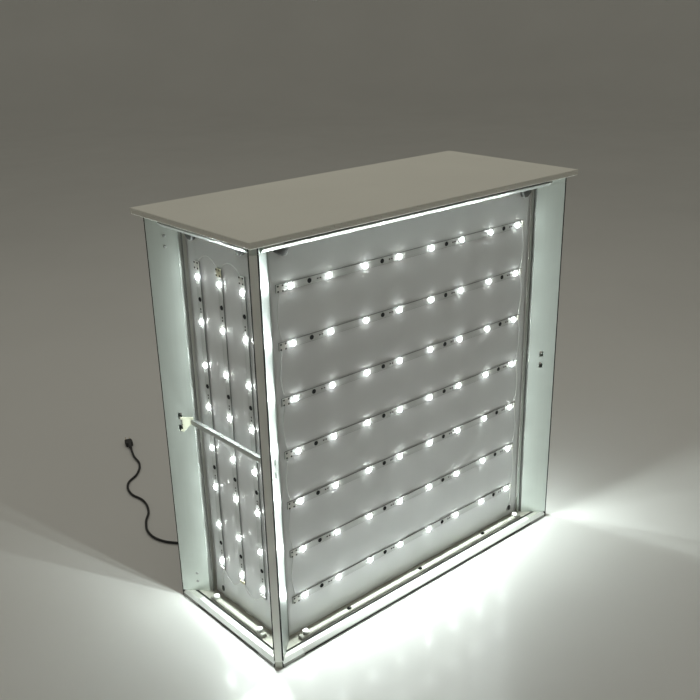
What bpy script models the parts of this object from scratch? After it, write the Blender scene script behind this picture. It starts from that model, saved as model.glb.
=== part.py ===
"""Backlit display counter: a bolt-together aluminium frame with hanging LED curtains and a lift-off top.

Metres, +Z up. The counter stands on z = 0, centred on the origin, with its front towards -Y.
"""

import math

import bmesh
import bpy
import numpy as np
from mathutils import Matrix, Vector

for old in list(bpy.data.objects):
    bpy.data.objects.remove(old)

# Overall sizes
COUNTER_HEIGHT = 1.000
FRAME_WIDTH = 0.985
FRAME_DEPTH = 0.412
SEAT_GAP = 0.0003  # left between pieces that touch
SLIDE_FIT = 0.0004  # left round pieces that plug into each other

# Countertop
TOP_OVERHANG = 0.015
TOP_THICKNESS = 0.0135
TOP_EDGE = 0.001
PIN_RADIUS = 0.004
PIN_HEIGHT = 0.008
PIN_SETBACK = 0.045

# Rails: a flat profile, seen from its end as depth (inwards) and height
RAIL_DEPTH = 0.076
RAIL_HEIGHT = 0.0175
RAIL_FACE = 0.0095  # height of the outer face, below the slanted lip
RAIL_CHANNEL_SETBACK = 0.021
RAIL_CHANNEL_WIDTH = 0.006
RAIL_CHANNEL_DEPTH = 0.005
GROOVE_WIDTH = 0.004  # takes the fabric's edge strip, on rails and posts
GROOVE_DEPTH = 0.007
PROFILE_WALL = 0.0022
RAIL_TENON = 0.040

# Posts: a profile that is mirrored about the corner's diagonal
POST_NOSE = 0.0115  # how far the flat outer nose cuts back each face
POST_WALL_ANGLE = math.radians(48)
POST_FACE_DEPTH = 0.0465
POST_CHANNEL_WIDTH = 0.005
POST_CHANNEL_DEPTH = 0.004
POST_DEPTH = 0.054
POST_TENON = 0.070
TOP_FACE_START = 0.069  # from the corner's two faces, where the top rails' outer faces begin

# Hook slots and screws in the post walls
SLOT_SETBACK = 0.024
SLOT_WIDTH = 0.010
SLOT_HEIGHT = 0.016
SLOT_SPACING = 0.031
SLOT_LOWERED = 0.0015  # the pair's middle, below the middle of the post
SCREW_SETBACK = 0.027
SCREW_FIRST = 0.0284  # from the post's end
SCREW_SPACING = 0.0235
SCREW_HEAD_RADIUS = 0.0035
SCREW_HEAD_HEIGHT = 0.0016
SCREW_SHANK_RADIUS = 0.0018
SCREW_LENGTH = 0.009

# LED curtains
SHEET_SETBACK = 0.0585
SHEET_THICKNESS = 0.0012
SHEET_EDGE_GAP = 0.001
SHEET_END_GAP = 0.0025
STRIP_WIDTH = 0.018
STRIP_THICKNESS = 0.0012
STRIP_LEAD = 0.036
STRIP_TAIL = 0.024
LEDS_PER_STRIP = 8
FRONT_LED_MARGIN = 0.052  # from a sheet's edge to its end LEDs
SIDE_LED_MARGIN = 0.1113
FRONT_ROWS = 7
FRONT_ROW_MARGIN = 0.0973
SIDE_COLUMNS = 3
SIDE_COLUMN_MARGIN = 0.0458
LENS_RADIUS = 0.007
LENS_TOP_RADIUS = 0.0042
LENS_HEIGHT = 0.0042
RIVET_RADIUS = 0.0048
RIVET_HEIGHT = 0.0016
CONNECTOR_LENGTH = 0.018
CONNECTOR_WIDTH = 0.012
CONNECTOR_HEIGHT = 0.0032
CONNECTOR_INSET = 0.0006
TAB_LENGTH = 0.007
JUMPER_RADIUS = 0.001
JUMPER_BOW = 0.008
JUMPER_RISE = 0.018
JUMPER_SAG = 0.024
JUMPER_STEP = 0.022

# Curtain rods and their hangers, under the top rails
ROD_RADIUS = 0.004
KNOB_RADIUS = 0.0065
KNOB_LENGTH = 0.012
FRONT_ROD_INSET = 0.024  # from a sheet's edge to the rod's end
SIDE_ROD_INSET = 0.0295
ROD_HANG = 0.0072  # from the top rails down to the rods' axes
HANGER_REACH = 0.030  # a hanger's extent to both sides of its rod's end
HANGER_SPREAD = 0.010
HANGER_TIP = 0.012
HANGER_HEIGHT = 0.0284
HANGER_DEPTH = 0.011

# Bars on the base rails that hold down the curtains' feet, with a thumb knob at each end
BAR_SETBACK = 0.0285
BAR_DEPTH = 0.014
BAR_HEIGHT = 0.0095
BAR_EDGE = 0.0025
FRONT_BAR_INSET = 0.016  # from a sheet's edge to the bar's end
SIDE_BAR_INSET = 0.0225
THUMB_INSET = 0.017
THUMB_RADIUS = 0.0075
THUMB_STEM = 0.0035
THUMB_RISE = 0.003
THUMB_HEIGHT = 0.0088

# Pass-throughs, caps on the front bar
OVAL_WIDTH = 0.0055
OVAL_HEIGHT = 0.0115
OVAL_RIM = 0.002
OVAL_Z = 0.0445
FRONT_OVAL_INSET = 0.032  # from a sheet's edge to the oval's middle
SIDE_OVAL_INSET = 0.0375
CAP_RADIUS = 0.005
CAP_HEIGHT = 0.002
CAP_SHARE = 0.25  # of the frame's width, from cap to cap

# Braces
BRACE_SETBACK = 0.040
BRACE_DEPTH = 0.010
BRACE_HEIGHT = 0.012
BRACE_LOWERED = 0.006  # its upper face, below the hook plates'
HOOK_PLATE_THICKNESS = 0.002
HOOK_PLATE_HEIGHT = 0.039
HOOK_PLATE_START = 0.0055  # from the slots' middle, along the wall
HOOK_TAB_START = 0.0008
HOOK_TAB_HEIGHT = 0.004
HOOK_EAR_MARGIN = 0.0005  # how far a tab's ear stands proud of the tab
HOOK_DROP = 0.005
HOOK_THICKNESS = 0.002

# Driver, leads and power cord
DRIVER_LENGTH = 0.170
DRIVER_WIDTH = 0.044
DRIVER_HEIGHT = 0.030
DRIVER_X = 0.160
DRIVER_EDGE = 0.003
DRIVER_CAP = 0.008
DRIVER_SHELL_INSET = 0.0015
LEAD_RADIUS = 0.002
LEAD_SHELF = 0.009  # how far behind the sheets and posts the leads run
LEAD_BEND = 0.014
CORD_RADIUS = 0.0035
RELIEF_LENGTH = 0.030
RELIEF_RADIUS = 0.0065
PLUG_BODY = (0.034, 0.024, 0.016)
PLUG_RELIEF = 0.022
BLADE = (0.017, 0.0015, 0.0063)
BLADE_SPACING = 0.0127
GROUND_RADIUS = 0.0023
GROUND_LENGTH = 0.019

# Places that follow from the sizes above
TOP_FRAME_Z = COUNTER_HEIGHT - TOP_THICKNESS - SEAT_GAP
POST_LOW = RAIL_HEIGHT + SEAT_GAP
POST_HIGH = TOP_FRAME_Z - RAIL_HEIGHT - SEAT_GAP
MIDDLE_Z = (POST_LOW + POST_HIGH) / 2
RAIL_LIP = RAIL_HEIGHT - RAIL_FACE
WALL_START = POST_NOSE + GROOVE_WIDTH
WALL_ALONG = Vector((math.sin(POST_WALL_ANGLE), math.cos(POST_WALL_ANGLE)))
WALL_OUT = Vector((math.cos(POST_WALL_ANGLE), -math.sin(POST_WALL_ANGLE)))
POST_REACH = WALL_START + POST_DEPTH * math.tan(POST_WALL_ANGLE)
STRIP_FACE = SHEET_SETBACK - SEAT_GAP - STRIP_THICKNESS
ROD_SETBACK = SHEET_SETBACK - SEAT_GAP - KNOB_RADIUS
ROD_Z = TOP_FRAME_Z - RAIL_HEIGHT - ROD_HANG
BAR_TOP = RAIL_HEIGHT + SEAT_GAP + BAR_HEIGHT
BAR_MIDDLE = BAR_SETBACK + BAR_DEPTH / 2
FRONT_HALF = FRAME_WIDTH / 2 - POST_REACH - SHEET_EDGE_GAP
SIDE_HALF = FRAME_DEPTH / 2 - POST_REACH - SHEET_EDGE_GAP
ROW_HEIGHTS = np.linspace(POST_HIGH - FRONT_ROW_MARGIN, POST_LOW + FRONT_ROW_MARGIN, FRONT_ROWS).tolist()
COLUMN_REACH = SIDE_HALF - SIDE_COLUMN_MARGIN
COLUMN_PLACES = np.linspace(-COLUMN_REACH, COLUMN_REACH, SIDE_COLUMNS).tolist()
FRONT_LED_REACH = FRONT_HALF - FRONT_LED_MARGIN
SIDE_LED_REACH = (POST_HIGH - POST_LOW) / 2 - SIDE_LED_MARGIN
CORNERS = {"front_left": (-1, -1), "front_right": (1, -1), "rear_left": (-1, 1), "rear_right": (1, 1)}
SIDES = {"left": -1, "right": 1}


def finish(name, colour, roughness, metallic=0.0):
    """A plain surface finish."""
    made = bpy.data.materials.new(name)
    made.use_nodes = True
    shader = made.node_tree.nodes["Principled BSDF"]
    shader.inputs["Base Color"].default_value = (*colour, 1.0)
    shader.inputs["Roughness"].default_value = roughness
    shader.inputs["Metallic"].default_value = metallic
    return made


BOARD = finish("board", (0.78, 0.76, 0.72), 0.55)
POST_METAL = finish("post_metal", (0.72, 0.75, 0.72), 0.42, 0.4)
RAIL_METAL = finish("rail_metal", (0.66, 0.68, 0.65), 0.40, 0.6)
CORNER_METAL = finish("corner_metal", (0.62, 0.64, 0.61), 0.44, 0.5)
SHEET_WHITE = finish("sheet_white", (0.82, 0.83, 0.84), 0.30)
STRIP_WHITE = finish("strip_white", (0.86, 0.87, 0.87), 0.45)
BLACK_PLASTIC = finish("black_plastic", (0.02, 0.02, 0.02), 0.45)
ROD_METAL = finish("rod_metal", (0.75, 0.75, 0.72), 0.30, 0.8)
BRACE_METAL = finish("brace_metal", (0.62, 0.63, 0.62), 0.35, 0.8)
CREAM_PLASTIC = finish("cream_plastic", (0.80, 0.78, 0.62), 0.50)
CORD_BLACK = finish("cord_black", (0.015, 0.015, 0.015), 0.50)


def add_object(name, bm, material, smooth=False):
    """Closes a mesh under construction and makes it one named piece."""
    bmesh.ops.recalc_face_normals(bm, faces=bm.faces)
    mesh = bpy.data.meshes.new(name)
    bm.to_mesh(mesh)
    bm.free()
    if smooth:
        mesh.shade_smooth()
        mesh.set_sharp_from_angle(angle=math.radians(40))
    made = bpy.data.objects.new(name, mesh)
    if material:
        mesh.materials.append(material)
    bpy.context.scene.collection.objects.link(made)
    return made


def add_helper(name, bm):
    """A cutter or an added form: it shapes a piece and isn't one itself."""
    made = add_object(name, bm, None)
    made.hide_render = True
    made.display_type = "WIRE"
    return made


def shape_with(piece, operation, helper):
    """Cuts a helper out of a piece, or joins it on."""
    modifier = piece.modifiers.new(operation.lower(), "BOOLEAN")
    modifier.operation = operation
    modifier.solver = "EXACT"
    modifier.object = helper


def add_prism(bm, loops, low, high, place):
    """Extrudes an outline, with any holes in it, from low to high along place's third direction."""
    edges = []
    for loop in loops:
        verts = [bm.verts.new(place(a, b, low)) for a, b in loop]
        edges += [bm.edges.new((verts[i - 1], verts[i])) for i in range(len(verts))]
    filled = bmesh.ops.triangle_fill(bm, use_beauty=True, edges=edges)
    faces = [item for item in filled["geom"] if isinstance(item, bmesh.types.BMFace)]
    extruded = bmesh.ops.extrude_face_region(bm, geom=faces)
    moved = [item for item in extruded["geom"] if isinstance(item, bmesh.types.BMVert)]
    bmesh.ops.translate(bm, verts=moved, vec=place(0, 0, high) - place(0, 0, low))


def box_loop(a_low, a_high, b_low, b_high):
    return [(a_low, b_low), (a_high, b_low), (a_high, b_high), (a_low, b_high)]


def round_loop(radius, sides):
    """A circle as a polygon, centred on the origin."""
    turns = [2 * math.pi * step / sides for step in range(sides)]
    return [(radius * math.cos(turn), radius * math.sin(turn)) for turn in turns]


def turned_mesh(name, profile, sides):
    """A turned form about Z. The profile is radius and height, and starts and ends on the axis."""
    bm = bmesh.new()
    verts = [bm.verts.new((radius, 0, height)) for radius, height in profile]
    edges = [bm.edges.new(pair) for pair in zip(verts, verts[1:])]
    bmesh.ops.spin(
        bm, geom=verts + edges, cent=(0, 0, 0), axis=(0, 0, 1), angle=2 * math.pi, steps=sides, use_merge=True
    )
    bmesh.ops.remove_doubles(bm, verts=bm.verts, dist=1e-6)
    bmesh.ops.recalc_face_normals(bm, faces=bm.faces)
    mesh = bpy.data.meshes.new(name)
    bm.to_mesh(mesh)
    bm.free()
    return mesh


def stamp(bm, mesh, matrix):
    """Puts a copy of a mesh where a matrix says."""
    start = len(bm.verts)
    bm.from_mesh(mesh)
    bm.verts.ensure_lookup_table()
    bmesh.ops.transform(bm, matrix=matrix, verts=bm.verts[start:])


def frame_at(origin, across, up, out):
    """A matrix that carries X, Y and Z to three directions at a place."""
    turn = Matrix((across, up, out)).transposed().to_4x4()
    return Matrix.Translation(origin) @ turn


def corner_place(signs, top=False):
    """Carries distances inwards from a frame corner, and a height, to the counter, turned over at the top."""

    def place(u, v, z):
        height = TOP_FRAME_Z - z if top else z
        return Vector((signs[0] * (FRAME_WIDTH / 2 - u), signs[1] * (FRAME_DEPTH / 2 - v), height))

    return place


def front_place(a, d, z):
    """Carries a place along the front, a distance in from it and a height."""
    return Vector((a, -FRAME_DEPTH / 2 + d, z))


def rear_place(a, d, z):
    return Vector((a, FRAME_DEPTH / 2 - d, z))


def side_place(sign):
    """As front_place, for a side: a runs along Y."""

    def place(a, d, z):
        return Vector((sign * (FRAME_WIDTH / 2 - d), a, z))

    return place


PANELS = {"front": front_place, "left": side_place(-1), "right": side_place(1)}
PANEL_HALF = {"front": FRONT_HALF, "left": SIDE_HALF, "right": SIDE_HALF}
LED_REACH = {"front": FRONT_LED_REACH, "left": SIDE_LED_REACH, "right": SIDE_LED_REACH}
FRONT_OVAL_X = FRONT_HALF - FRONT_OVAL_INSET
SIDE_OVAL_Y = SIDE_HALF - SIDE_OVAL_INSET
OVAL_PLACE = {"front": FRONT_OVAL_X, "left": SIDE_OVAL_Y, "right": SIDE_OVAL_Y}
FRONT_ROD_HALF = FRONT_HALF - FRONT_ROD_INSET
SIDE_ROD_HALF = SIDE_HALF - SIDE_ROD_INSET
ROD_HALF = {"front": FRONT_ROD_HALF, "left": SIDE_ROD_HALF, "right": SIDE_ROD_HALF}
FRONT_BAR_HALF = FRONT_HALF - FRONT_BAR_INSET
SIDE_BAR_HALF = SIDE_HALF - SIDE_BAR_INSET
BAR_HALF = {"front": FRONT_BAR_HALF, "left": SIDE_BAR_HALF, "right": SIDE_BAR_HALF}


def wall_point(depth, inset=0.0):
    """A point on a post's slanted wall at a depth behind the frame's face, or that far inside the wall."""
    along = depth / math.cos(POST_WALL_ANGLE)
    return Vector((WALL_START, 0)) + WALL_ALONG * along - WALL_OUT * inset


def mirrored(half):
    """Adds the mirror of an outline about the corner's diagonal."""
    points = [tuple(point) for point in half]
    return points + [(b, a) for a, b in reversed(points)]


def post_outline():
    channel_end = POST_FACE_DEPTH + POST_CHANNEL_WIDTH
    return mirrored([
        (POST_NOSE, 0),
        (POST_NOSE, GROOVE_DEPTH),
        (WALL_START, GROOVE_DEPTH),
        (WALL_START, 0),
        wall_point(POST_FACE_DEPTH),
        wall_point(POST_FACE_DEPTH, POST_CHANNEL_DEPTH),
        wall_point(channel_end, POST_CHANNEL_DEPTH),
        wall_point(channel_end),
        wall_point(POST_DEPTH),
    ])


WALL_STEP = PROFILE_WALL * math.cos(POST_WALL_ANGLE)  # a wall's thickness, as depth along the slanted wall
HOLLOW_START = GROOVE_DEPTH
HOLLOW_END = POST_FACE_DEPTH - WALL_STEP


def post_hollow():
    neck = POST_CHANNEL_DEPTH + PROFILE_WALL
    return mirrored([
        wall_point(HOLLOW_START, PROFILE_WALL),
        wall_point(HOLLOW_END, PROFILE_WALL),
        wall_point(HOLLOW_END, neck),
        wall_point(POST_DEPTH - WALL_STEP, neck),
    ])


def post_tenon():
    return mirrored([
        wall_point(HOLLOW_START + SLIDE_FIT, PROFILE_WALL + SLIDE_FIT),
        wall_point(HOLLOW_END - SLIDE_FIT, PROFILE_WALL + SLIDE_FIT),
    ])


def wall_frame(signs, depth, z, side_wall):
    """Middle, level direction and outward direction of a place on a post's front or side wall."""
    place = corner_place(signs)
    flip = (lambda p: (p[1], p[0])) if side_wall else (lambda p: (p[0], p[1]))
    origin = place(*flip(wall_point(depth)), z)
    zero = place(0, 0, z)
    along = place(*flip(WALL_ALONG), z) - zero
    out = place(*flip(WALL_OUT), z) - zero
    return origin, along, out


SLOT_HEIGHTS = [MIDDLE_Z - SLOT_LOWERED + side * SLOT_SPACING / 2 for side in (1, -1)]
SCREW_HEIGHTS = [POST_LOW + SCREW_FIRST + step * SCREW_SPACING for step in range(2)]
SCREW_HEIGHTS += [POST_HIGH - SCREW_FIRST - step * SCREW_SPACING for step in range(2)]


def slot_cutters(bm, signs):
    """Hook slots through both slanted walls of a post."""
    reach = PROFILE_WALL * 2
    for side_wall in (False, True):
        for z in SLOT_HEIGHTS:
            origin, along, out = wall_frame(signs, SLOT_SETBACK, z, side_wall)
            loop = box_loop(-SLOT_WIDTH / 2, SLOT_WIDTH / 2, -SLOT_HEIGHT / 2, SLOT_HEIGHT / 2)
            up = Vector((0, 0, 1))
            add_prism(bm, [loop], -reach, reach, lambda a, b, h: origin + along * a + up * b + out * h)


def screw_frames(signs, heights):
    up = Vector((0, 0, 1))
    for z in heights:
        origin, along, out = wall_frame(signs, SCREW_SETBACK, z, True)
        yield frame_at(origin, along, up, out)


def screw_cutters(bm, signs, heights):
    """Holes for the post screws through the wall."""
    hole = SCREW_SHANK_RADIUS + SLIDE_FIT
    reach = PROFILE_WALL * 2
    mesh = turned_mesh("screw_hole", [(0, -reach), (hole, -reach), (hole, reach), (0, reach)], 8)
    for matrix in screw_frames(signs, heights):
        stamp(bm, mesh, matrix)


def make_posts():
    for corner, signs in CORNERS.items():
        bm = bmesh.new()
        add_prism(bm, [post_outline(), post_hollow()], POST_LOW, POST_HIGH, corner_place(signs))
        post = add_object("post_" + corner, bm, POST_METAL)
        cutter = bmesh.new()
        slot_cutters(cutter, signs)
        screw_cutters(cutter, signs, SCREW_HEIGHTS)
        shape_with(post, "DIFFERENCE", add_helper("post_cutter_" + corner, cutter))


def add_screws(bm, signs, heights):
    """Screws through the post's wall, fast in the tenon behind it."""
    head = SEAT_GAP + SCREW_HEAD_HEIGHT
    profile = [
        (0, -SCREW_LENGTH),
        (SCREW_SHANK_RADIUS, -SCREW_LENGTH),
        (SCREW_SHANK_RADIUS, SEAT_GAP),
        (SCREW_HEAD_RADIUS, SEAT_GAP),
        (SCREW_HEAD_RADIUS * 0.7, head),
        (0, head),
    ]
    mesh = turned_mesh("screw", profile, 8)
    for matrix in screw_frames(signs, heights):
        stamp(bm, mesh, matrix)


RAIL_HOLLOW = (RAIL_CHANNEL_SETBACK + RAIL_CHANNEL_WIDTH + PROFILE_WALL, RAIL_DEPTH - PROFILE_WALL)


def rail_outline():
    groove_low = (RAIL_FACE - GROOVE_WIDTH) / 2
    groove_high = groove_low + GROOVE_WIDTH
    channel_end = RAIL_CHANNEL_SETBACK + RAIL_CHANNEL_WIDTH
    channel_floor = RAIL_HEIGHT - RAIL_CHANNEL_DEPTH
    return [
        (0, 0),
        (0, groove_low),
        (GROOVE_DEPTH, groove_low),
        (GROOVE_DEPTH, groove_high),
        (0, groove_high),
        (0, RAIL_FACE),
        (RAIL_LIP, RAIL_HEIGHT),
        (RAIL_CHANNEL_SETBACK, RAIL_HEIGHT),
        (RAIL_CHANNEL_SETBACK, channel_floor),
        (channel_end, channel_floor),
        (channel_end, RAIL_HEIGHT),
        (RAIL_DEPTH, RAIL_HEIGHT),
        (RAIL_DEPTH, 0),
    ]


def make_rails():
    hollow = box_loop(*RAIL_HOLLOW, PROFILE_WALL, RAIL_HEIGHT - PROFILE_WALL)
    places = {"front": front_place, "rear": rear_place, "left": side_place(-1), "right": side_place(1)}
    for level, top in (("base", False), ("top", True)):
        for side, place in places.items():
            width = FRAME_DEPTH if side in SIDES else FRAME_WIDTH
            half = width / 2 - RAIL_DEPTH - SEAT_GAP

            def along(d, z, a):
                return place(a, d, TOP_FRAME_Z - z if top else z)

            bm = bmesh.new()
            add_prism(bm, [rail_outline(), hollow], -half, half, along)
            add_object(f"{level}_rail_{side}", bm, RAIL_METAL)


JOIN = 0.0015  # how far an added form starts inside the block that it joins


def corner_block(bm, place):
    outline = [(POST_NOSE, 0), (RAIL_DEPTH, 0), (RAIL_DEPTH, RAIL_DEPTH), (0, RAIL_DEPTH), (0, POST_NOSE)]
    add_prism(bm, [outline], 0, RAIL_HEIGHT, place)


def lip_cutters(bm, place, top):
    """Wedges that carry the rails' slanted lips on to a corner: at the base, up to the posts' grooves."""
    spare = RAIL_LIP / 4
    start = TOP_FACE_START - spare if top else WALL_START
    high = RAIL_HEIGHT + spare
    wedge = [(-spare, RAIL_FACE - spare), (RAIL_LIP + spare, high), (-spare, high)]
    end = RAIL_DEPTH + spare
    add_prism(bm, [wedge], start, end, lambda d, z, a: place(a, d, z))
    add_prism(bm, [wedge], start, end, lambda d, z, a: place(d, a, z))


def profile_cutters(bm, place, top):
    """Prisms that carry the post's profile on through a corner: its grooves, and its walls at the top."""
    spare = RAIL_LIP / 4
    groove = [(WALL_START, GROOVE_DEPTH), (POST_NOSE, GROOVE_DEPTH), (POST_NOSE, -spare)]
    if top:
        deep = (TOP_FACE_START - WALL_START) / math.tan(POST_WALL_ANGLE)
        cut = groove + [(TOP_FACE_START, -spare), (TOP_FACE_START, deep), (WALL_START, 0)]
    else:
        cut = groove + [(WALL_START, -spare)]
    add_prism(bm, [cut], -spare, RAIL_HEIGHT + spare, place)
    add_prism(bm, [[(b, a) for a, b in cut]], -spare, RAIL_HEIGHT + spare, place)


def channel_cutters(bm, place):
    """Prisms that carry the base rails' channels on to a corner, as far as the post's foot."""
    spare = RAIL_LIP / 4
    start = WALL_START + RAIL_CHANNEL_SETBACK * math.tan(POST_WALL_ANGLE)
    far = RAIL_CHANNEL_SETBACK + RAIL_CHANNEL_WIDTH
    channel = box_loop(start, RAIL_DEPTH + spare, RAIL_CHANNEL_SETBACK, far)
    low = RAIL_HEIGHT - RAIL_CHANNEL_DEPTH
    add_prism(bm, [channel], low, RAIL_HEIGHT + spare, place)
    add_prism(bm, [[(b, a) for a, b in channel]], low, RAIL_HEIGHT + spare, place)


def corner_tenons(bm, place):
    low, high = RAIL_HOLLOW
    section = box_loop(
        low + SLIDE_FIT, high - SLIDE_FIT, PROFILE_WALL + SLIDE_FIT, RAIL_HEIGHT - PROFILE_WALL - SLIDE_FIT
    )
    start = RAIL_DEPTH - JOIN
    end = RAIL_DEPTH + RAIL_TENON
    add_prism(bm, [section], start, end, lambda d, z, a: place(a, d, z))
    add_prism(bm, [section], start, end, lambda d, z, a: place(d, a, z))
    add_prism(bm, [post_tenon()], RAIL_HEIGHT - JOIN, RAIL_HEIGHT + POST_TENON, place)


def make_corners():
    pin_loop = round_loop(PIN_RADIUS, 10)
    for corner, signs in CORNERS.items():
        for level, top in (("base", False), ("top", True)):
            place = corner_place(signs, top)
            bm = bmesh.new()
            corner_block(bm, place)
            piece = add_object(f"{level}_corner_{corner}", bm, CORNER_METAL)
            lips = bmesh.new()
            lip_cutters(lips, place, top)
            shape_with(piece, "DIFFERENCE", add_helper(f"{level}_lips_{corner}", lips))
            profile = bmesh.new()
            profile_cutters(profile, place, top)
            shape_with(piece, "DIFFERENCE", add_helper(f"{level}_profile_{corner}", profile))
            if not top:
                channels = bmesh.new()
                channel_cutters(channels, place)
                shape_with(piece, "DIFFERENCE", add_helper("channels_" + corner, channels))
            tenons = bmesh.new()
            corner_tenons(tenons, place)
            if top:
                pin = [(PIN_SETBACK + a, PIN_SETBACK + b) for a, b in pin_loop]
                add_prism(tenons, [pin], JOIN, -PIN_HEIGHT, place)
            shape_with(piece, "UNION", add_helper(f"{level}_tenon_{corner}", tenons))
            screws = bmesh.new()
            add_screws(screws, signs, SCREW_HEIGHTS[2:] if top else SCREW_HEIGHTS[:2])
            shape_with(piece, "UNION", add_helper(f"{level}_screws_{corner}", screws))


def make_countertop():
    width = FRAME_WIDTH / 2 + TOP_OVERHANG
    depth = FRAME_DEPTH / 2 + TOP_OVERHANG
    bm = bmesh.new()
    low = COUNTER_HEIGHT - TOP_THICKNESS
    board = box_loop(-width, width, -depth, depth)
    add_prism(bm, [board], low, COUNTER_HEIGHT, lambda a, b, h: Vector((a, b, h)))
    top = add_object("countertop", bm, BOARD)
    edge = top.modifiers.new("eased_edges", "BEVEL")
    edge.width = TOP_EDGE
    edge.segments = 1
    cutter = bmesh.new()
    hole = round_loop(PIN_RADIUS + SLIDE_FIT, 10)
    for signs in CORNERS.values():
        place = corner_place(signs)
        loop = [(PIN_SETBACK + a, PIN_SETBACK + b) for a, b in hole]
        add_prism(cutter, [loop], TOP_FRAME_Z - JOIN, TOP_FRAME_Z + PIN_HEIGHT + SEAT_GAP * 2, place)
    shape_with(top, "DIFFERENCE", add_helper("pin_holes", cutter))


def oval_loop(width, height, a, z, steps=6):
    """An upright slot with round ends, centred on a place."""
    radius = width / 2
    reach = height / 2 - radius
    upper = [math.pi * step / steps for step in range(steps + 1)]
    lower = [math.pi + turn for turn in upper]
    points = [(a + radius * math.cos(turn), z + reach + radius * math.sin(turn)) for turn in upper]
    return points + [(a + radius * math.cos(turn), z - reach + radius * math.sin(turn)) for turn in lower]


def make_sheets():
    low = POST_LOW + SHEET_END_GAP
    high = POST_HIGH - SHEET_END_GAP
    for panel, place in PANELS.items():
        half = PANEL_HALF[panel]
        hole = oval_loop(OVAL_WIDTH, OVAL_HEIGHT, OVAL_PLACE[panel], OVAL_Z)
        bm = bmesh.new()
        add_prism(
            bm,
            [box_loop(-half, half, low, high), hole],
            SHEET_SETBACK,
            SHEET_SETBACK + SHEET_THICKNESS,
            lambda a, z, d: place(a, d, z),
        )
        add_object(panel + "_sheet", bm, SHEET_WHITE)


def strip_frames(panel):
    """For each LED bar of a panel: its place function, which takes a distance along, across and in."""
    place = PANELS[panel]
    frames = []
    if panel == "front":
        for height in ROW_HEIGHTS:
            frames.append(lambda along, across, d, height=height: place(along, d, height + across))
        return frames
    for column in COLUMN_PLACES:
        frames.append(lambda along, across, d, column=column: place(column + across, d, MIDDLE_Z - along))
    return frames


def strip_matrix(frame, along):
    """Stands a turned form on a bar, pointing out of the counter, with its foot inside the bar."""
    foot = STRIP_FACE + STRIP_THICKNESS / 2
    origin = frame(along, 0, foot)
    across = frame(along + 1, 0, foot) - origin
    out = frame(along, 0, foot - 1) - origin
    return frame_at(origin, across, out.cross(across), out)


def button_mesh(name, radius, crown, height, sides):
    """A tapered button that stands a height above a bar's face."""
    sunk = STRIP_THICKNESS / 2
    profile = [(0, 0), (radius, 0), (radius, sunk), (crown, sunk + height), (0, sunk + height)]
    return turned_mesh(name, profile, sides)


def strip_ends(panel):
    return -LED_REACH[panel] - STRIP_LEAD, LED_REACH[panel] + STRIP_TAIL


def add_bar_parts(bm, panel, frame, lens, rivet):
    """Lenses, the rivets between every second pair, and a connector at each end."""
    leds = np.linspace(-LED_REACH[panel], LED_REACH[panel], LEDS_PER_STRIP)
    for led in leds:
        stamp(bm, lens, strip_matrix(frame, led))
    for led, following in zip(leds[::2], leds[1::2]):
        stamp(bm, rivet, strip_matrix(frame, (led + following) / 2))
    half = CONNECTOR_WIDTH / 2
    start, end = strip_ends(panel)
    first = start + CONNECTOR_INSET
    last = end - CONNECTOR_INSET
    face = STRIP_FACE - CONNECTOR_HEIGHT
    foot = STRIP_FACE + STRIP_THICKNESS / 2
    for start, end in ((first, first + CONNECTOR_LENGTH), (last - TAB_LENGTH, last)):
        add_prism(bm, [box_loop(start, end, -half, half)], face, foot, frame)


def smooth_route(points, step):
    """Evenly spaced points on a smooth curve through a route's own points."""
    knots = np.array(points, float)
    ends = np.vstack([2 * knots[0] - knots[1], knots, 2 * knots[-1] - knots[-2]])
    share = np.linspace(0, 1, 24, endpoint=False)[:, None]
    dense = []
    for before, start, end, after in zip(ends, ends[1:], ends[2:], ends[3:]):
        dense.append(
            0.5
            * (
                2 * start
                + (end - before) * share
                + (2 * before - 5 * start + 4 * end - after) * share**2
                + (3 * start - before - 3 * end + after) * share**3
            )
        )
    dense = np.vstack([*dense, knots[-1:]])
    travelled = np.concatenate([[0], np.cumsum(np.linalg.norm(np.diff(dense, axis=0), axis=1))])
    places = np.linspace(0, travelled[-1], max(2, round(travelled[-1] / step) + 1))
    even = [np.interp(places, travelled, dense[:, axis]) for axis in range(3)]
    return np.stack(even, axis=1), travelled[-1]


def round_curve(name, route, radius, step):
    """A round wire or cord along a route, with closed ends. Returns its length too."""
    points, length = smooth_route(route, step)
    curve = bpy.data.curves.new(name, "CURVE")
    curve.dimensions = "3D"
    curve.bevel_depth = radius
    curve.bevel_resolution = 2
    curve.use_fill_caps = True
    spline = curve.splines.new("POLY")
    spline.points.add(len(points) - 1)
    for point, place in zip(spline.points, points):
        point.co = (*place, 1.0)
    return bpy.data.objects.new(name, curve), length


def add_tube(bm, route, radius, step):
    """The same wire as part of another piece."""
    guide = round_curve("wire", route, radius, step)[0]
    mesh = bpy.data.meshes.new_from_object(guide)
    bpy.data.objects.remove(guide)
    stamp(bm, mesh, Matrix.Identity(4))
    bmesh.ops.remove_doubles(bm, verts=bm.verts, dist=1e-6)


ON_SHEET = SHEET_SETBACK - SEAT_GAP * 2 - JUMPER_RADIUS
WIRE_ROOT = STRIP_WIDTH / 6  # how far inside its bar a wire starts
WIRE_END = JUMPER_RADIUS + SEAT_GAP  # how far from the next bar it ends
RIM_TOP = OVAL_Z + OVAL_HEIGHT / 2 + OVAL_RIM


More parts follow.
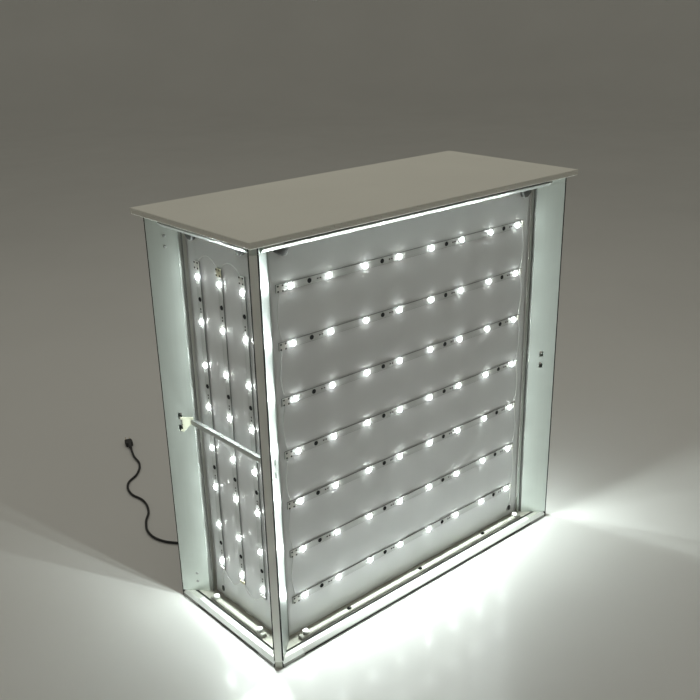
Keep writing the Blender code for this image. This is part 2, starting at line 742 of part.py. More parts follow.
def front_jumpers(row):
    """From a level bar to the next one down, at both ends, or from the lowest to its pass-through."""
    half = STRIP_WIDTH / 2
    first, last = strip_ends("front")
    left = first + CONNECTOR_LENGTH / 2
    right = last - TAB_LENGTH / 2
    start = ROW_HEIGHTS[row] - half + WIRE_ROOT
    if row == FRONT_ROWS - 1:
        heights = np.linspace(start, RIM_TOP + WIRE_END, 5)
        places = np.linspace(right, FRONT_OVAL_X, 5)
        return [[front_place(a, ON_SHEET, z) for a, z in zip(places, heights)]]
    heights = np.linspace(start, ROW_HEIGHTS[row + 1] + half + WIRE_END, 6)
    bows = JUMPER_BOW * np.sin(np.linspace(0, math.pi, 6))
    return [
        [front_place(a + side * bow, ON_SHEET, z) for bow, z in zip(bows, heights)]
        for a, side in ((left, -1), (right, 1))
    ]


def side_jumpers(panel, column):
    """Loops from an upright bar to the next, at its top and its foot, or down to the pass-through."""
    place = PANELS[panel]
    start, end = strip_ends(panel)
    top = MIDDLE_Z - start
    foot = MIDDLE_Z - end
    first = COLUMN_PLACES[column]
    if column == SIDE_COLUMNS - 1:
        heights = np.linspace(foot + WIRE_ROOT, RIM_TOP + WIRE_END, 5)
        places = np.linspace(first, SIDE_OVAL_Y, 5)
        return [[place(a, ON_SHEET, z) for a, z in zip(places, heights)]]
    quarter = STRIP_WIDTH / 4
    places = np.linspace(first + quarter, COLUMN_PLACES[column + 1] - quarter, 7)
    bow = np.sin(np.linspace(0, math.pi, 7))
    ends = np.linspace(-WIRE_ROOT, WIRE_END, 7)
    over = [place(a, ON_SHEET, top + end + JUMPER_RISE * up) for a, end, up in zip(places, ends, bow)]
    under = [place(a, ON_SHEET, foot - end - JUMPER_SAG * up) for a, end, up in zip(places, ends, bow)]
    return [over, under]


def make_led_bars():
    """Each bar with its lenses, rivets, connectors and the wires that lead on from it."""
    lens = button_mesh("lens", LENS_RADIUS, LENS_TOP_RADIUS, LENS_HEIGHT, 8)
    rivet = button_mesh("rivet", RIVET_RADIUS, RIVET_RADIUS * 0.75, RIVET_HEIGHT, 6)
    for panel in PANELS:
        for number, frame in enumerate(strip_frames(panel)):
            name = f"{panel}_led_bar_{number + 1}"
            outline = box_loop(*strip_ends(panel), -STRIP_WIDTH / 2, STRIP_WIDTH / 2)
            bm = bmesh.new()
            add_prism(bm, [outline], STRIP_FACE, STRIP_FACE + STRIP_THICKNESS, frame)
            bar = add_object(name, bm, STRIP_WHITE)
            parts = bmesh.new()
            add_bar_parts(parts, panel, frame, lens, rivet)
            shape_with(bar, "UNION", add_helper(name + "_parts", parts))
            wires = bmesh.new()
            routes = front_jumpers(number) if panel == "front" else side_jumpers(panel, number)
            for route in routes:
                add_tube(wires, route, JUMPER_RADIUS, JUMPER_STEP)
            shape_with(bar, "UNION", add_helper(name + "_wires", wires))


def rod_mesh(half):
    """A rod with a round knob on each end, lying along Z."""
    neck = half - KNOB_LENGTH
    knob = [(KNOB_RADIUS * 0.7, half), (KNOB_RADIUS, half - KNOB_LENGTH * 0.25), (KNOB_RADIUS, neck)]
    upper = [(0, half), *knob, (ROD_RADIUS, neck)]
    lower = [(radius, -height) for radius, height in reversed(upper)]
    return turned_mesh("rod", upper + lower, 10)


def hanger_outline(half, side):
    """A claw that holds the end of a rod, seen from the front: places along the rod, and heights."""
    top = TOP_FRAME_Z - RAIL_HEIGHT - SEAT_GAP
    inner = half - HANGER_REACH
    outer = half + HANGER_SPREAD
    middle = (inner + outer) / 2
    points = [
        (inner, top),
        (outer, top),
        (outer, top - HANGER_HEIGHT * 0.65),
        (middle + HANGER_TIP / 2, top - HANGER_HEIGHT),
        (middle - HANGER_TIP / 2, top - HANGER_HEIGHT),
    ]
    return [(side * a, z) for a, z in points]


def make_rods():
    """Knob-ended rods with a hanger at each end, close under the top rails."""
    up = Vector((0, 0, 1))
    for panel, place in PANELS.items():
        half = ROD_HALF[panel]
        origin = place(0, ROD_SETBACK, ROD_Z)
        ahead = place(1, ROD_SETBACK, ROD_Z) - origin
        bm = bmesh.new()
        stamp(bm, rod_mesh(half), frame_at(origin, up.cross(ahead), up, ahead))
        rod = add_object(panel + "_curtain_rod", bm, ROD_METAL, smooth=True)
        hangers = bmesh.new()
        near, far = ROD_SETBACK - HANGER_DEPTH / 2, ROD_SETBACK + HANGER_DEPTH / 2
        for side in (-1, 1):
            add_prism(hangers, [hanger_outline(half, side)], near, far, lambda a, z, d: place(a, d, z))
        shape_with(rod, "UNION", add_helper(panel + "_hangers", hangers))


def make_hem_bars():
    """Bars with eased upper edges that lie along the base rails, in front of the curtains' feet."""
    low = RAIL_HEIGHT + SEAT_GAP
    front, rear = BAR_SETBACK, BAR_SETBACK + BAR_DEPTH
    section = [
        (front, low),
        (rear, low),
        (rear, BAR_TOP - BAR_EDGE),
        (rear - BAR_EDGE, BAR_TOP),
        (front + BAR_EDGE, BAR_TOP),
        (front, BAR_TOP - BAR_EDGE),
    ]
    profile = [
        (0, -JOIN),
        (THUMB_STEM, -JOIN),
        (THUMB_STEM, THUMB_RISE),
        (THUMB_RADIUS * 0.85, THUMB_RISE),
        (THUMB_RADIUS, THUMB_RISE + THUMB_HEIGHT * 0.2),
        (THUMB_RADIUS * 0.85, THUMB_HEIGHT * 0.85),
        (THUMB_RADIUS * 0.45, THUMB_HEIGHT),
        (0, THUMB_HEIGHT),
    ]
    knob = turned_mesh("thumb_knob", profile, 12)
    for panel, place in PANELS.items():
        half = BAR_HALF[panel]
        bm = bmesh.new()
        add_prism(bm, [section], -half, half, lambda d, z, a: place(a, d, z))
        bar = add_object(panel + "_hem_bar", bm, ROD_METAL)
        knobs = bmesh.new()
        for a in (THUMB_INSET - half, half - THUMB_INSET):
            stamp(knobs, knob, Matrix.Translation(place(a, BAR_MIDDLE, BAR_TOP)))
        shape_with(bar, "UNION", add_helper(panel + "_thumb_knobs", knobs))


def make_bar_caps():
    """Black push-in caps over the front bar's screws."""
    profile = [(0, 0), (CAP_RADIUS, 0), (CAP_RADIUS * 0.8, CAP_HEIGHT), (0, CAP_HEIGHT)]
    mesh = turned_mesh("bar_cap", profile, 10)
    for name, step in (("left", -1), ("middle", 0), ("right", 1)):
        bm = bmesh.new()
        place = front_place(step * CAP_SHARE * FRAME_WIDTH, BAR_MIDDLE, BAR_TOP + SEAT_GAP)
        stamp(bm, mesh, Matrix.Translation(place))
        add_object("bar_cap_" + name, bm, BLACK_PLASTIC, smooth=True)


def make_braces():
    """Crossbars half way up the lit sides, hung in the posts' slots by a hook plate at each end."""
    plate_top = tab_heights(SLOT_HEIGHTS[0])[1] + HOOK_EAR_MARGIN * 2
    top = plate_top - BRACE_LOWERED
    plate_face = SEAT_GAP + HOOK_PLATE_THICKNESS
    bar_gap = (plate_face + SEAT_GAP) / WALL_OUT[0]
    for side, sign in SIDES.items():
        place = side_place(sign)
        depths = (BRACE_SETBACK, BRACE_SETBACK + BRACE_DEPTH)
        corners = [(d, FRAME_DEPTH / 2 - wall_point(d)[0] - bar_gap) for d in depths]
        outline = [(half, d) for d, half in corners] + [(-half, d) for d, half in reversed(corners)]
        bm = bmesh.new()
        add_prism(bm, [outline], top - BRACE_HEIGHT, top, lambda a, d, z: place(a, d, z))
        add_object(f"{side}_brace_bar", bm, BRACE_METAL)

        for end, where in ((-1, "front"), (1, "rear")):
            origin, along, out = wall_frame((sign, end), SLOT_SETBACK, 0, True)
            start = HOOK_PLATE_START
            reach = (BRACE_SETBACK + BRACE_DEPTH / 2 - SLOT_SETBACK) / math.cos(POST_WALL_ANGLE)
            tip = top - BRACE_HEIGHT / 2
            low = plate_top - HOOK_PLATE_HEIGHT
            outline = [(start, plate_top), (reach, plate_top), (reach, tip), (start, low)]
            up = Vector((0, 0, 1))
            plate = bmesh.new()
            add_prism(
                plate, [outline], SEAT_GAP, plate_face, lambda a, z, n: origin + along * a + up * z + out * n
            )
            name = f"{side}_brace_hook_{where}"
            piece = add_object(name, plate, CREAM_PLASTIC)
            ears, tabs = bmesh.new(), bmesh.new()
            for slot in SLOT_HEIGHTS:
                add_ear(ears, slot, lambda n, z, a: origin + along * a + up * z + out * n)
                add_hook(tabs, slot, lambda n, z, a: origin + along * a + up * z + out * n)
            shape_with(piece, "UNION", add_helper(name + "_ears", ears))
            shape_with(piece, "UNION", add_helper(name + "_tabs", tabs))


def tab_heights(slot):
    """A hook's tab lies on the lower edge of its slot."""
    low = slot - SLOT_HEIGHT / 2 + SEAT_GAP
    return low, low + HOOK_TAB_HEIGHT


def add_ear(bm, slot, place):
    """The part of a hook plate in front of a slot, which the tab leads in from."""
    low, high = tab_heights(slot)
    inside = HOOK_PLATE_THICKNESS / 8
    face = SEAT_GAP + HOOK_PLATE_THICKNESS - inside
    ear = box_loop(SEAT_GAP + inside, face, low - HOOK_EAR_MARGIN, high + HOOK_EAR_MARGIN)
    add_prism(bm, [ear], HOOK_TAB_START - HOOK_EAR_MARGIN, HOOK_PLATE_START + JOIN, place)


def add_hook(bm, slot, place):
    """A tab through a slot that turns down behind the wall."""
    low, high = tab_heights(slot)
    behind = -PROFILE_WALL - SLIDE_FIT
    outline = [
        (SEAT_GAP + HOOK_PLATE_THICKNESS / 2, high),
        (SEAT_GAP + HOOK_PLATE_THICKNESS / 2, low),
        (behind, low),
        (behind, low - HOOK_DROP),
        (behind - HOOK_THICKNESS, low - HOOK_DROP),
        (behind - HOOK_THICKNESS, high),
    ]
    add_prism(bm, [outline], HOOK_TAB_START, SLOT_WIDTH / 2 - SLIDE_FIT, place)


DRIVER_Y = FRAME_DEPTH / 2 - RAIL_DEPTH / 2
DRIVER_Z = RAIL_HEIGHT + SEAT_GAP
DRIVER_AXIS_Z = DRIVER_Z + DRIVER_HEIGHT / 2


def driver_outline(inset):
    """A box section with eased upper edges."""
    half = DRIVER_WIDTH / 2 - inset
    high = DRIVER_HEIGHT - inset
    return [
        (-half, inset),
        (half, inset),
        (half, high - DRIVER_EDGE),
        (half - DRIVER_EDGE, high),
        (-half + DRIVER_EDGE, high),
        (-half, high - DRIVER_EDGE),
    ]


def make_driver():
    half = DRIVER_LENGTH / 2

    def place(y, z, x):
        return Vector((DRIVER_X + x, DRIVER_Y + y, DRIVER_Z + z))

    bm = bmesh.new()
    add_prism(bm, [driver_outline(DRIVER_SHELL_INSET)], -half, half, place)
    driver = add_object("led_driver", bm, RAIL_METAL)
    caps = bmesh.new()
    for sign in (-1, 1):
        add_prism(caps, [driver_outline(0)], sign * (half - JOIN), sign * (half + DRIVER_CAP), place)
    shape_with(driver, "UNION", add_helper("driver_caps", caps))


DRIVER_END = DRIVER_LENGTH / 2 + DRIVER_CAP + SEAT_GAP


def lead_routes():
    """Low-voltage leads: over the base rails from the driver to the back of each pass-through."""
    rail_z = RAIL_HEIGHT + SEAT_GAP * 2 + LEAD_RADIUS
    back = SHEET_SETBACK + SHEET_THICKNESS + OVAL_RIM / 2
    shelf = back + LEAD_SHELF
    corner = (POST_REACH + POST_DEPTH) / 2 + LEAD_SHELF
    spread = DRIVER_WIDTH / 4

    def side_lead(sign, start_y, inward):
        """From one end of the driver, down on to the rear rail and along it to the rear corner."""
        place = corner_place((sign, 1))
        leave = DRIVER_X + sign * DRIVER_END
        start = [Vector((leave + sign * reach, start_y, DRIVER_AXIS_Z)) for reach in (0, LEAD_BEND)]
        run_y = FRAME_DEPTH / 2 - corner + LEAD_BEND - inward
        sinking = Vector((leave + sign * LEAD_BEND * 2.5, (start_y + run_y) / 2, rail_z + LEAD_RADIUS * 2))
        landed = Vector((leave + sign * LEAD_BEND * 4.5, run_y, rail_z + SEAT_GAP))
        return start + [sinking, landed, place(corner + LEAD_BEND * 2, corner - LEAD_BEND + inward, rail_z)]

    def into_side(sign, run):
        """On from the rear corner and up into a side's pass-through."""
        place = PANELS["left" if sign < 0 else "right"]
        a = SIDE_OVAL_Y
        return run + [
            place(a + LEAD_BEND * 1.7, shelf + LEAD_BEND * 1.3, rail_z + LEAD_RADIUS),
            place(a + LEAD_BEND * 0.5, shelf + LEAD_BEND, (rail_z + OVAL_Z) / 2 + LEAD_RADIUS),
            place(a, back + LEAD_BEND * 0.8, OVAL_Z),
            place(a, back, OVAL_Z),
        ]

    front_run = side_lead(1, DRIVER_Y + spread, 0)
    turn = corner_place((1, 1))
    ahead = corner_place((1, -1))
    end_x = FRAME_WIDTH / 2 - FRONT_OVAL_X
    front_run += [
        turn(corner, corner, rail_z),
        turn(shelf, corner + LEAD_BEND * 2, rail_z),
        turn(shelf, FRAME_DEPTH / 2, rail_z),
        ahead(shelf, shelf + LEAD_BEND * 5, rail_z + LEAD_RADIUS / 2),
        ahead((shelf + end_x) / 2, back + LEAD_BEND * 3, (rail_z + OVAL_Z) / 2),
        ahead(end_x, back + LEAD_BEND, OVAL_Z),
        ahead(end_x, back, OVAL_Z),
    ]
    right = into_side(1, side_lead(1, DRIVER_Y - spread, LEAD_BEND * 0.6))
    left = into_side(-1, side_lead(-1, DRIVER_Y - spread, LEAD_BEND * 0.6))
    return {"front": front_run, "left": left, "right": right}


def make_leads():
    """Each lead with the oval bush on its end: a rim on the sheet's front and a body through its hole."""
    seat = SHEET_SETBACK - SEAT_GAP
    back = SHEET_SETBACK + SHEET_THICKNESS + OVAL_RIM
    for panel, route in lead_routes().items():
        place = PANELS[panel]
        a = OVAL_PLACE[panel]
        rim_loop = oval_loop(OVAL_WIDTH + OVAL_RIM * 2, OVAL_HEIGHT + OVAL_RIM * 2, a, OVAL_Z)
        body_loop = oval_loop(OVAL_WIDTH - SLIDE_FIT * 2, OVAL_HEIGHT - SLIDE_FIT * 2, a, OVAL_Z)
        rim = bmesh.new()
        add_prism(rim, [rim_loop], seat - OVAL_RIM, seat, lambda p, q, h: place(p, h, q))
        lead = add_object(panel + "_led_lead", rim, BLACK_PLASTIC)
        body = bmesh.new()
        add_prism(body, [body_loop], seat - OVAL_RIM / 2, back, lambda p, q, h: place(p, h, q))
        shape_with(lead, "UNION", add_helper(panel + "_bush", body))
        tube = bmesh.new()
        add_tube(tube, route, LEAD_RADIUS, LEAD_RADIUS * 9)
        shape_with(lead, "UNION", add_helper(panel + "_wire", tube))


CORD_Y = DRIVER_Y + DRIVER_WIDTH / 4
CORD_X = DRIVER_X - DRIVER_END - RELIEF_LENGTH - SEAT_GAP
PLUG_AXIS_Z = SEAT_GAP + PLUG_BODY[2] / 2

# The cord leaves the driver, drops over the rear rail and wanders back over the floor to its plug
REAR = FRAME_DEPTH / 2
CORD_ROUTE = [
    (CORD_X, CORD_Y, DRIVER_AXIS_Z),
    (0.015, REAR - 0.0270, 0.0326),
    (-0.010, REAR - 0.0245, 0.0300),
    (-0.035, REAR - 0.0185, 0.0262),
    (-0.058, REAR - 0.0090, 0.0232),
    (-0.078, REAR + 0.0030, 0.0172),
    (-0.096, REAR + 0.0180, 0.0100),
    (-0.115, REAR + 0.0350, 0.0054),
    (-0.138, REAR + 0.0540, 0.0042),
    (-0.185, REAR + 0.0870, 0.0042),
    (-0.240, REAR + 0.1120, 0.0042),
    (-0.295, REAR + 0.1360, 0.0042),
    (-0.340, REAR + 0.1640, 0.0042),
    (-0.375, REAR + 0.2020, 0.0042),
    (-0.402, REAR + 0.2460, 0.0042),
    (-0.408, REAR + 0.2990, 0.0042),
    (-0.385, REAR + 0.3590, 0.0042),
    (-0.345, REAR + 0.4140, 0.0042),
    (-0.325, REAR + 0.4790, 0.0042),
    (-0.330, REAR + 0.5440, 0.0042),
    (-0.305, REAR + 0.6060, 0.0042),
    (-0.252, REAR + 0.6440, 0.0042),
    (-0.212, REAR + 0.6990, 0.0044),
    (-0.198, REAR + 0.7590, 0.0054),
    (-0.176, REAR + 0.8190, PLUG_AXIS_Z),
]


def make_cord():
    cord, length = round_curve("power_cord", CORD_ROUTE, CORD_RADIUS, CORD_RADIUS * 5.4)
    cord.data.materials.append(CORD_BLACK)
    bpy.context.scene.collection.objects.link(cord)
    print(f"power cord: {length:.3f} m")


def make_relief():
    """Tapered strain relief where the cord leaves the driver."""
    tip = CORD_RADIUS + SEAT_GAP * 2
    flange = RELIEF_LENGTH / 10
    profile = [
        (0, 0),
        (RELIEF_RADIUS, 0),
        (RELIEF_RADIUS, flange),
        (RELIEF_RADIUS * 0.8, flange),
        (tip, RELIEF_LENGTH),
        (0, RELIEF_LENGTH),
    ]
    bm = bmesh.new()
    origin = Vector((DRIVER_X - DRIVER_END, CORD_Y, DRIVER_AXIS_Z))
    matrix = frame_at(origin, Vector((0, 1, 0)), Vector((0, 0, -1)), Vector((-1, 0, 0)))
    stamp(bm, turned_mesh("relief", profile, 12), matrix)
    add_object("cord_strain_relief", bm, BLACK_PLASTIC, smooth=True)


def plug_place():
    """Carries the plug's own lengthwise, sideways and upward distances to the end of the cord."""
    end = Vector(CORD_ROUTE[-1])
    ahead = end - Vector(CORD_ROUTE[-2])
    ahead = Vector((ahead[0], ahead[1], 0)).normalized()
    side = Vector((0, 0, 1)).cross(ahead)
    return frame_at(end + ahead * SEAT_GAP, ahead, side, Vector((0, 0, 1)))


def make_plug():
    length, width, height = PLUG_BODY
    matrix = plug_place()
    ease = height / 4
    half_w, half_h = width / 2, height / 2
    outline = [
        (-half_w + ease, -half_h),
        (half_w - ease, -half_h),
        (half_w, -half_h + ease),
        (half_w, half_h - ease),
        (half_w - ease, half_h),
        (-half_w + ease, half_h),
        (-half_w, half_h - ease),
        (-half_w, -half_h + ease),
    ]
    face = PLUG_RELIEF + length
    bm = bmesh.new()
    add_prism(bm, [outline], PLUG_RELIEF, face, lambda y, z, x: matrix @ Vector((x, y, z)))
    body = add_object("power_plug", bm, BLACK_PLASTIC)
    tip = CORD_RADIUS + SEAT_GAP * 2
    root = half_h - SEAT_GAP * 4
    taper = turned_mesh("taper", [(0, 0), (tip, 0), (root, PLUG_RELIEF + JOIN), (0, PLUG_RELIEF + JOIN)], 12)
    sleeve = bmesh.new()
    upright = Matrix(((0, 0, 1, 0), (1, 0, 0, 0), (0, 1, 0, 0), (0, 0, 0, 1)))
    stamp(sleeve, taper, matrix @ upright)
    shape_with(body, "UNION", add_helper("plug_sleeve", sleeve))

    pins = bmesh.new()
    reach, thick, tall = BLADE
    start = face - JOIN
    for side in (-1, 1):
        middle = side * BLADE_SPACING / 2
        loop = box_loop(middle - thick / 2, middle + thick / 2, 0, tall)
        add_prism(pins, [loop], start, face + reach, lambda y, z, x: matrix @ Vector((x, y, z)))
    ground = [(a, b - height / 4) for a, b in round_loop(GROUND_RADIUS, 8)]
    add_prism(pins, [ground], start, face + GROUND_LENGTH, lambda y, z, x: matrix @ Vector((x, y, z)))
    shape_with(body, "UNION", add_helper("plug_blades", pins))


def hang_on(name, place, pieces):
    """An empty on a sliding body's axis, which carries its pieces."""
    empty = bpy.data.objects.new(name, None)
    empty.location = place
    bpy.context.scene.collection.objects.link(empty)
    for piece in pieces:
        child = bpy.data.objects[piece]
        child.parent = empty
        child.matrix_parent_inverse = Matrix.Translation(-Vector(place))


make_posts()
make_rails()
make_corners()
make_countertop()
make_sheets()
make_led_bars()
make_rods()
make_hem_bars()
make_bar_caps()
make_braces()
make_driver()
make_leads()
make_relief()
make_cord()
make_plug()
hang_on("countertop_lift", (0, 0, TOP_FRAME_Z), ["countertop"])
for side, sign in SIDES.items():
    middle = side_place(sign)(0, BRACE_SETBACK + BRACE_DEPTH / 2, MIDDLE_Z)
    names = [f"{side}_brace_bar", f"{side}_brace_hook_front", f"{side}_brace_hook_rear"]
    hang_on(f"{side}_brace_lift", middle, names)
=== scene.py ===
import math

import bmesh
import bpy
from mathutils import Matrix, Quaternion, Vector


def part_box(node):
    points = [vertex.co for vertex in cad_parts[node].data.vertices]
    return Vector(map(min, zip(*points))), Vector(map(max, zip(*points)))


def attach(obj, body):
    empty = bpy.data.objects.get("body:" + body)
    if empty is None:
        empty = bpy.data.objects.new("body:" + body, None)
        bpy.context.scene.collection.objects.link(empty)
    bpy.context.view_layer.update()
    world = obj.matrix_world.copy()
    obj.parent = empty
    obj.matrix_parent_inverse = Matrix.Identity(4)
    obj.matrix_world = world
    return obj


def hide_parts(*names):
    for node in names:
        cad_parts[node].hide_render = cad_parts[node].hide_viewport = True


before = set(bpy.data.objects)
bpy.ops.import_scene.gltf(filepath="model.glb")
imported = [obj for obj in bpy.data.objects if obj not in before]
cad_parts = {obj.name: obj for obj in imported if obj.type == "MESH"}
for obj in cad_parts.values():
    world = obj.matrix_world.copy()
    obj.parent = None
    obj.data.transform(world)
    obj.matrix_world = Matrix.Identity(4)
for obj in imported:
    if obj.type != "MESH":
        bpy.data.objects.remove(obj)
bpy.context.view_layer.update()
print("frame loaded:", len(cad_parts), "nodes")

# the counter's own sizes, the same as in the CAD
counter = {
    "halfWidth": 0.4925,
    "halfDepth": 0.206,
    "topFrame": 0.9862,  # upper face of the top rails
    "postLow": 0.0178,
    "postHigh": 0.9684,
    "wallStart": 0.0155,  # where a post's slanted wall leaves the frame's face
    "wallAngle": math.radians(48),
}
halfWidth, halfDepth = counter["halfWidth"], counter["halfDepth"]
wallStart, wallAngle = counter["wallStart"], counter["wallAngle"]


def addObject(name, data):
    made = bpy.data.objects.new(name, data)
    bpy.context.scene.collection.objects.link(made)
    return made


# the photograph's own camera, solved from its straight edges
def addCamera():
    s = {"place": (-1.49279, -1.63282, 1.43787), "yaw": 0.72703, "pitch": 0.38578, "roll": -0.01988,
         "lens": 48.584, "sensor": 36.0, "shift": (-0.01582, 0.02761), "clip": (0.05, 60)}
    level = math.cos(s["pitch"])
    ahead = Vector((math.sin(s["yaw"]) * level, math.cos(s["yaw"]) * level, -math.sin(s["pitch"])))
    data = bpy.data.cameras.new("photoCamera")
    data.sensor_width, data.lens = s["sensor"], s["lens"]
    data.shift_x, data.shift_y = s["shift"]
    data.clip_start, data.clip_end = s["clip"]
    made = addObject("photoCamera", data)
    made.location = s["place"]
    made.rotation_mode = "QUATERNION"
    made.rotation_quaternion = ahead.to_track_quat("-Z", "Y") @ Quaternion((0, 0, 1), s["roll"])
    bpy.context.scene.camera = made


addCamera()


# small helpers for node trees
def isSocket(value):
    return isinstance(value, bpy.types.NodeSocket)


def addNode(tree, kind, inputs=None, **settings):
    node = tree.nodes.new(kind)
    for key, value in settings.items():
        setattr(node, key, value)
    for key, value in (inputs or {}).items():
        if isSocket(value):
            tree.links.new(value, node.inputs[key])
        else:
            node.inputs[key].default_value = value
    return node


def feed(node, label, value):
    node.id_data.links.new(value, node.inputs[label])


def calc(operation, first, second=0.0):
    return addNode(first.id_data, "ShaderNodeMath", {0: first, 1: second}, operation=operation).outputs[0]


# spread: from low, from high, to low, to high
def remap(value, *spread):
    return addNode(value.id_data, "ShaderNodeMapRange", dict(enumerate((value, *spread)))).outputs[0]


def mixColours(share, first, second, blend="MIX"):
    tree = next(value.id_data for value in (share, first, second) if isSocket(value))
    wide = [c if isSocket(c) else (*c, 1.0) for c in (first, second)]
    inputs = {0: share, 6: wide[0], 7: wide[1]}
    return addNode(tree, "ShaderNodeMix", inputs, data_type="RGBA", blend_type=blend).outputs[2]


def shaded(tint, shade):
    return mixColours(1.0, tint, shade, "MULTIPLY")


def noise(vector, scale, detail=2.0, roughness=0.5):
    wanted = {"Vector": vector, "Scale": scale, "Detail": detail, "Roughness": roughness}
    return addNode(vector.id_data, "ShaderNodeTexNoise", wanted).outputs[0]


# a noise with its middle range spread from low to high
def mottle(place, scale, detail, low, high):
    start, stop = 0.3, 0.7
    return remap(noise(place, scale, detail), start, stop, low, high)


# an input without a value of its own is a vector, the others are numbers
def startGroup(name, inputs, outputs):
    tree = bpy.data.node_groups.new(name, "ShaderNodeTree")
    for label, value in inputs.items():
        kind = "NodeSocketVector" if value is None else "NodeSocketFloat"
        socket = tree.interface.new_socket(label, in_out="INPUT", socket_type=kind)
        if value is not None:
            socket.default_value = value
    for label in outputs:
        tree.interface.new_socket(label, in_out="OUTPUT", socket_type="NodeSocketFloat")
    return tree, tree.nodes.new("NodeGroupInput"), tree.nodes.new("NodeGroupOutput")


def makeGrainGroup():
    s = {"fine": 0.7, "broad": 0.3, "broadScale": 0.12, "middle": 0.5}
    tree, start, end = startGroup("drawnGrain", {"Vector": None, "Depth": 0.1}, ["Shade", "Rough", "Height"])
    fine = noise(start.outputs["Vector"], 1.0, 3.0, 0.6)
    broad = noise(start.outputs["Vector"], s["broadScale"])
    both = calc("ADD", calc("MULTIPLY", fine, s["fine"]), calc("MULTIPLY", broad, s["broad"]))
    centred = calc("MULTIPLY", calc("SUBTRACT", both, s["middle"]), start.outputs["Depth"])
    feed(end, "Shade", calc("ADD", centred, 1.0))
    feed(end, "Rough", centred)
    feed(end, "Height", both)
    return tree


def makeMarksGroup():
    s = {"clouds": (0.46, 0.72), "specks": (0.68, 0.74), "finer": 45.0}
    inputs = {"Place": None, "Size": 9.0, "Amount": 0.5}
    tree, start, end = startGroup("handlingMarks", inputs, ["Mask", "Dust"])
    place, size, amount = (start.outputs[label] for label in ("Place", "Size", "Amount"))
    clouds = remap(noise(place, size, 5.0, 0.62), *s["clouds"], 0.0, 1.0)
    small = noise(place, calc("MULTIPLY", size, s["finer"]), 1.0)
    specks = remap(small, *s["specks"], 0.0, 1.0)
    feed(end, "Mask", calc("MULTIPLY", clouds, amount))
    feed(end, "Dust", calc("MULTIPLY", specks, amount))
    return tree


grainGroup = makeGrainGroup()
marksGroup = makeMarksGroup()


def startMaterial(name, **plain):
    made = bpy.data.materials.new(name)
    made.use_nodes = True
    shader = made.node_tree.nodes["Principled BSDF"]
    for label, value in plain.items():
        shader.inputs[label.replace("_", " ")].default_value = value
    return made, shader, made.node_tree.nodes.new("ShaderNodeTexCoord").outputs["Object"]


def addMarks(place, size, amount):
    wanted = {"Place": place, "Size": size, "Amount": amount}
    return addNode(place.id_data, "ShaderNodeGroup", wanted, node_tree=marksGroup).outputs


def addBump(shader, height, strength, distance=0.0002):
    wanted = {"Height": height, "Strength": strength, "Distance": distance}
    feed(shader, "Normal", addNode(shader.id_data, "ShaderNodeBump", wanted).outputs["Normal"])


def addGrain(place, stretch, depth):
    drawn = addNode(place.id_data, "ShaderNodeMapping", {"Vector": place, "Scale": stretch})
    wanted = {"Vector": drawn.outputs["Vector"], "Depth": depth}
    return addNode(place.id_data, "ShaderNodeGroup", wanted, node_tree=grainGroup).outputs


# marks make a surface rougher where it was handled
def smeared(marks, share, rough):
    return calc("ADD", calc("MULTIPLY", marks["Mask"], share), rough)


# a drawn metal: its grain runs along the axis with the small number in stretch
def metalFinish(name, tint, stretch, rough, metallic, wear=0.25):
    s = {"depth": 0.16, "marks": 11.0, "dulled": 0.82, "dust": (0.62, 0.61, 0.58), "worn": 0.16, "bump": 0.12}
    made, shader, place = startMaterial(name, Metallic=metallic)
    grain = addGrain(place, stretch, s["depth"])
    marks = addMarks(place, s["marks"], wear)
    bright = shaded(tint, grain["Shade"])
    dulled = mixColours(marks["Mask"], bright, scaled(tint, s["dulled"]))
    feed(shader, "Base Color", mixColours(marks["Dust"], dulled, s["dust"]))
    feed(shader, "Roughness", smeared(marks, s["worn"], calc("ADD", grain["Rough"], rough)))
    addBump(shader, grain["Height"], s["bump"])
    return made


# a moulded, painted or pressed surface: clouded tint, specks of dust, handled patches and a fine texture
def mouldedFinish(name, tint, rough, texture=1600.0, depth=0.08, **changes):
    s = {"marks": (16.0, 0.4), "clouds": [(22.0, 3.0, 0.94, 1.06)], "dust": [c * 0.7 + 0.12 for c in tint],
         "smear": 0.18, "detail": 2.0, "specular": 0.5, "band": None, "upright": (0.2, 0.9)}
    s.update(changes)
    made, shader, place = startMaterial(name, Specular_IOR_Level=s["specular"])
    marks = addMarks(place, *s["marks"])
    for cloud in s["clouds"]:
        tint = shaded(tint, mottle(place, *cloud))
    if s["band"]:  # upright faces have an edge band
        normal = made.node_tree.nodes.new("ShaderNodeNewGeometry").outputs["True Normal"]
        level = calc("ABSOLUTE", addNode(made.node_tree, "ShaderNodeSeparateXYZ", {0: normal}).outputs["Z"])
        tint = mixColours(remap(level, *s["upright"], 1.0, 0.0), tint, s["band"])
    feed(shader, "Base Color", mixColours(marks["Dust"], tint, s["dust"]))
    feed(shader, "Roughness", smeared(marks, s["smear"], rough))
    addBump(shader, noise(place, texture, s["detail"]), depth)
    return made


def boardFinish():
    s = {"marks": (5.0, 0.5), "clouds": [(750.0, 2.0, 0.965, 1.03), (4.0, 4.0, 0.97, 1.02)], "smear": 0.10,
         "dust": (0.5, 0.49, 0.46), "detail": 3.0, "specular": 0.35, "band": (0.84, 0.83, 0.765)}
    return mouldedFinish("pressedBoard", (0.675, 0.67, 0.605), 0.50, 420.0, 0.10, **s)


def cordFinish():
    s = {"marks": (30.0, 0.5), "clouds": [(40.0, 2.0, 0.8, 1.2)], "smear": 0.32, "dust": (0.10, 0.10, 0.095),
         "specular": 0.4}
    return mouldedFinish("cordJacket", (0.016, 0.016, 0.017), 0.42, 1400.0, 0.12, **s)


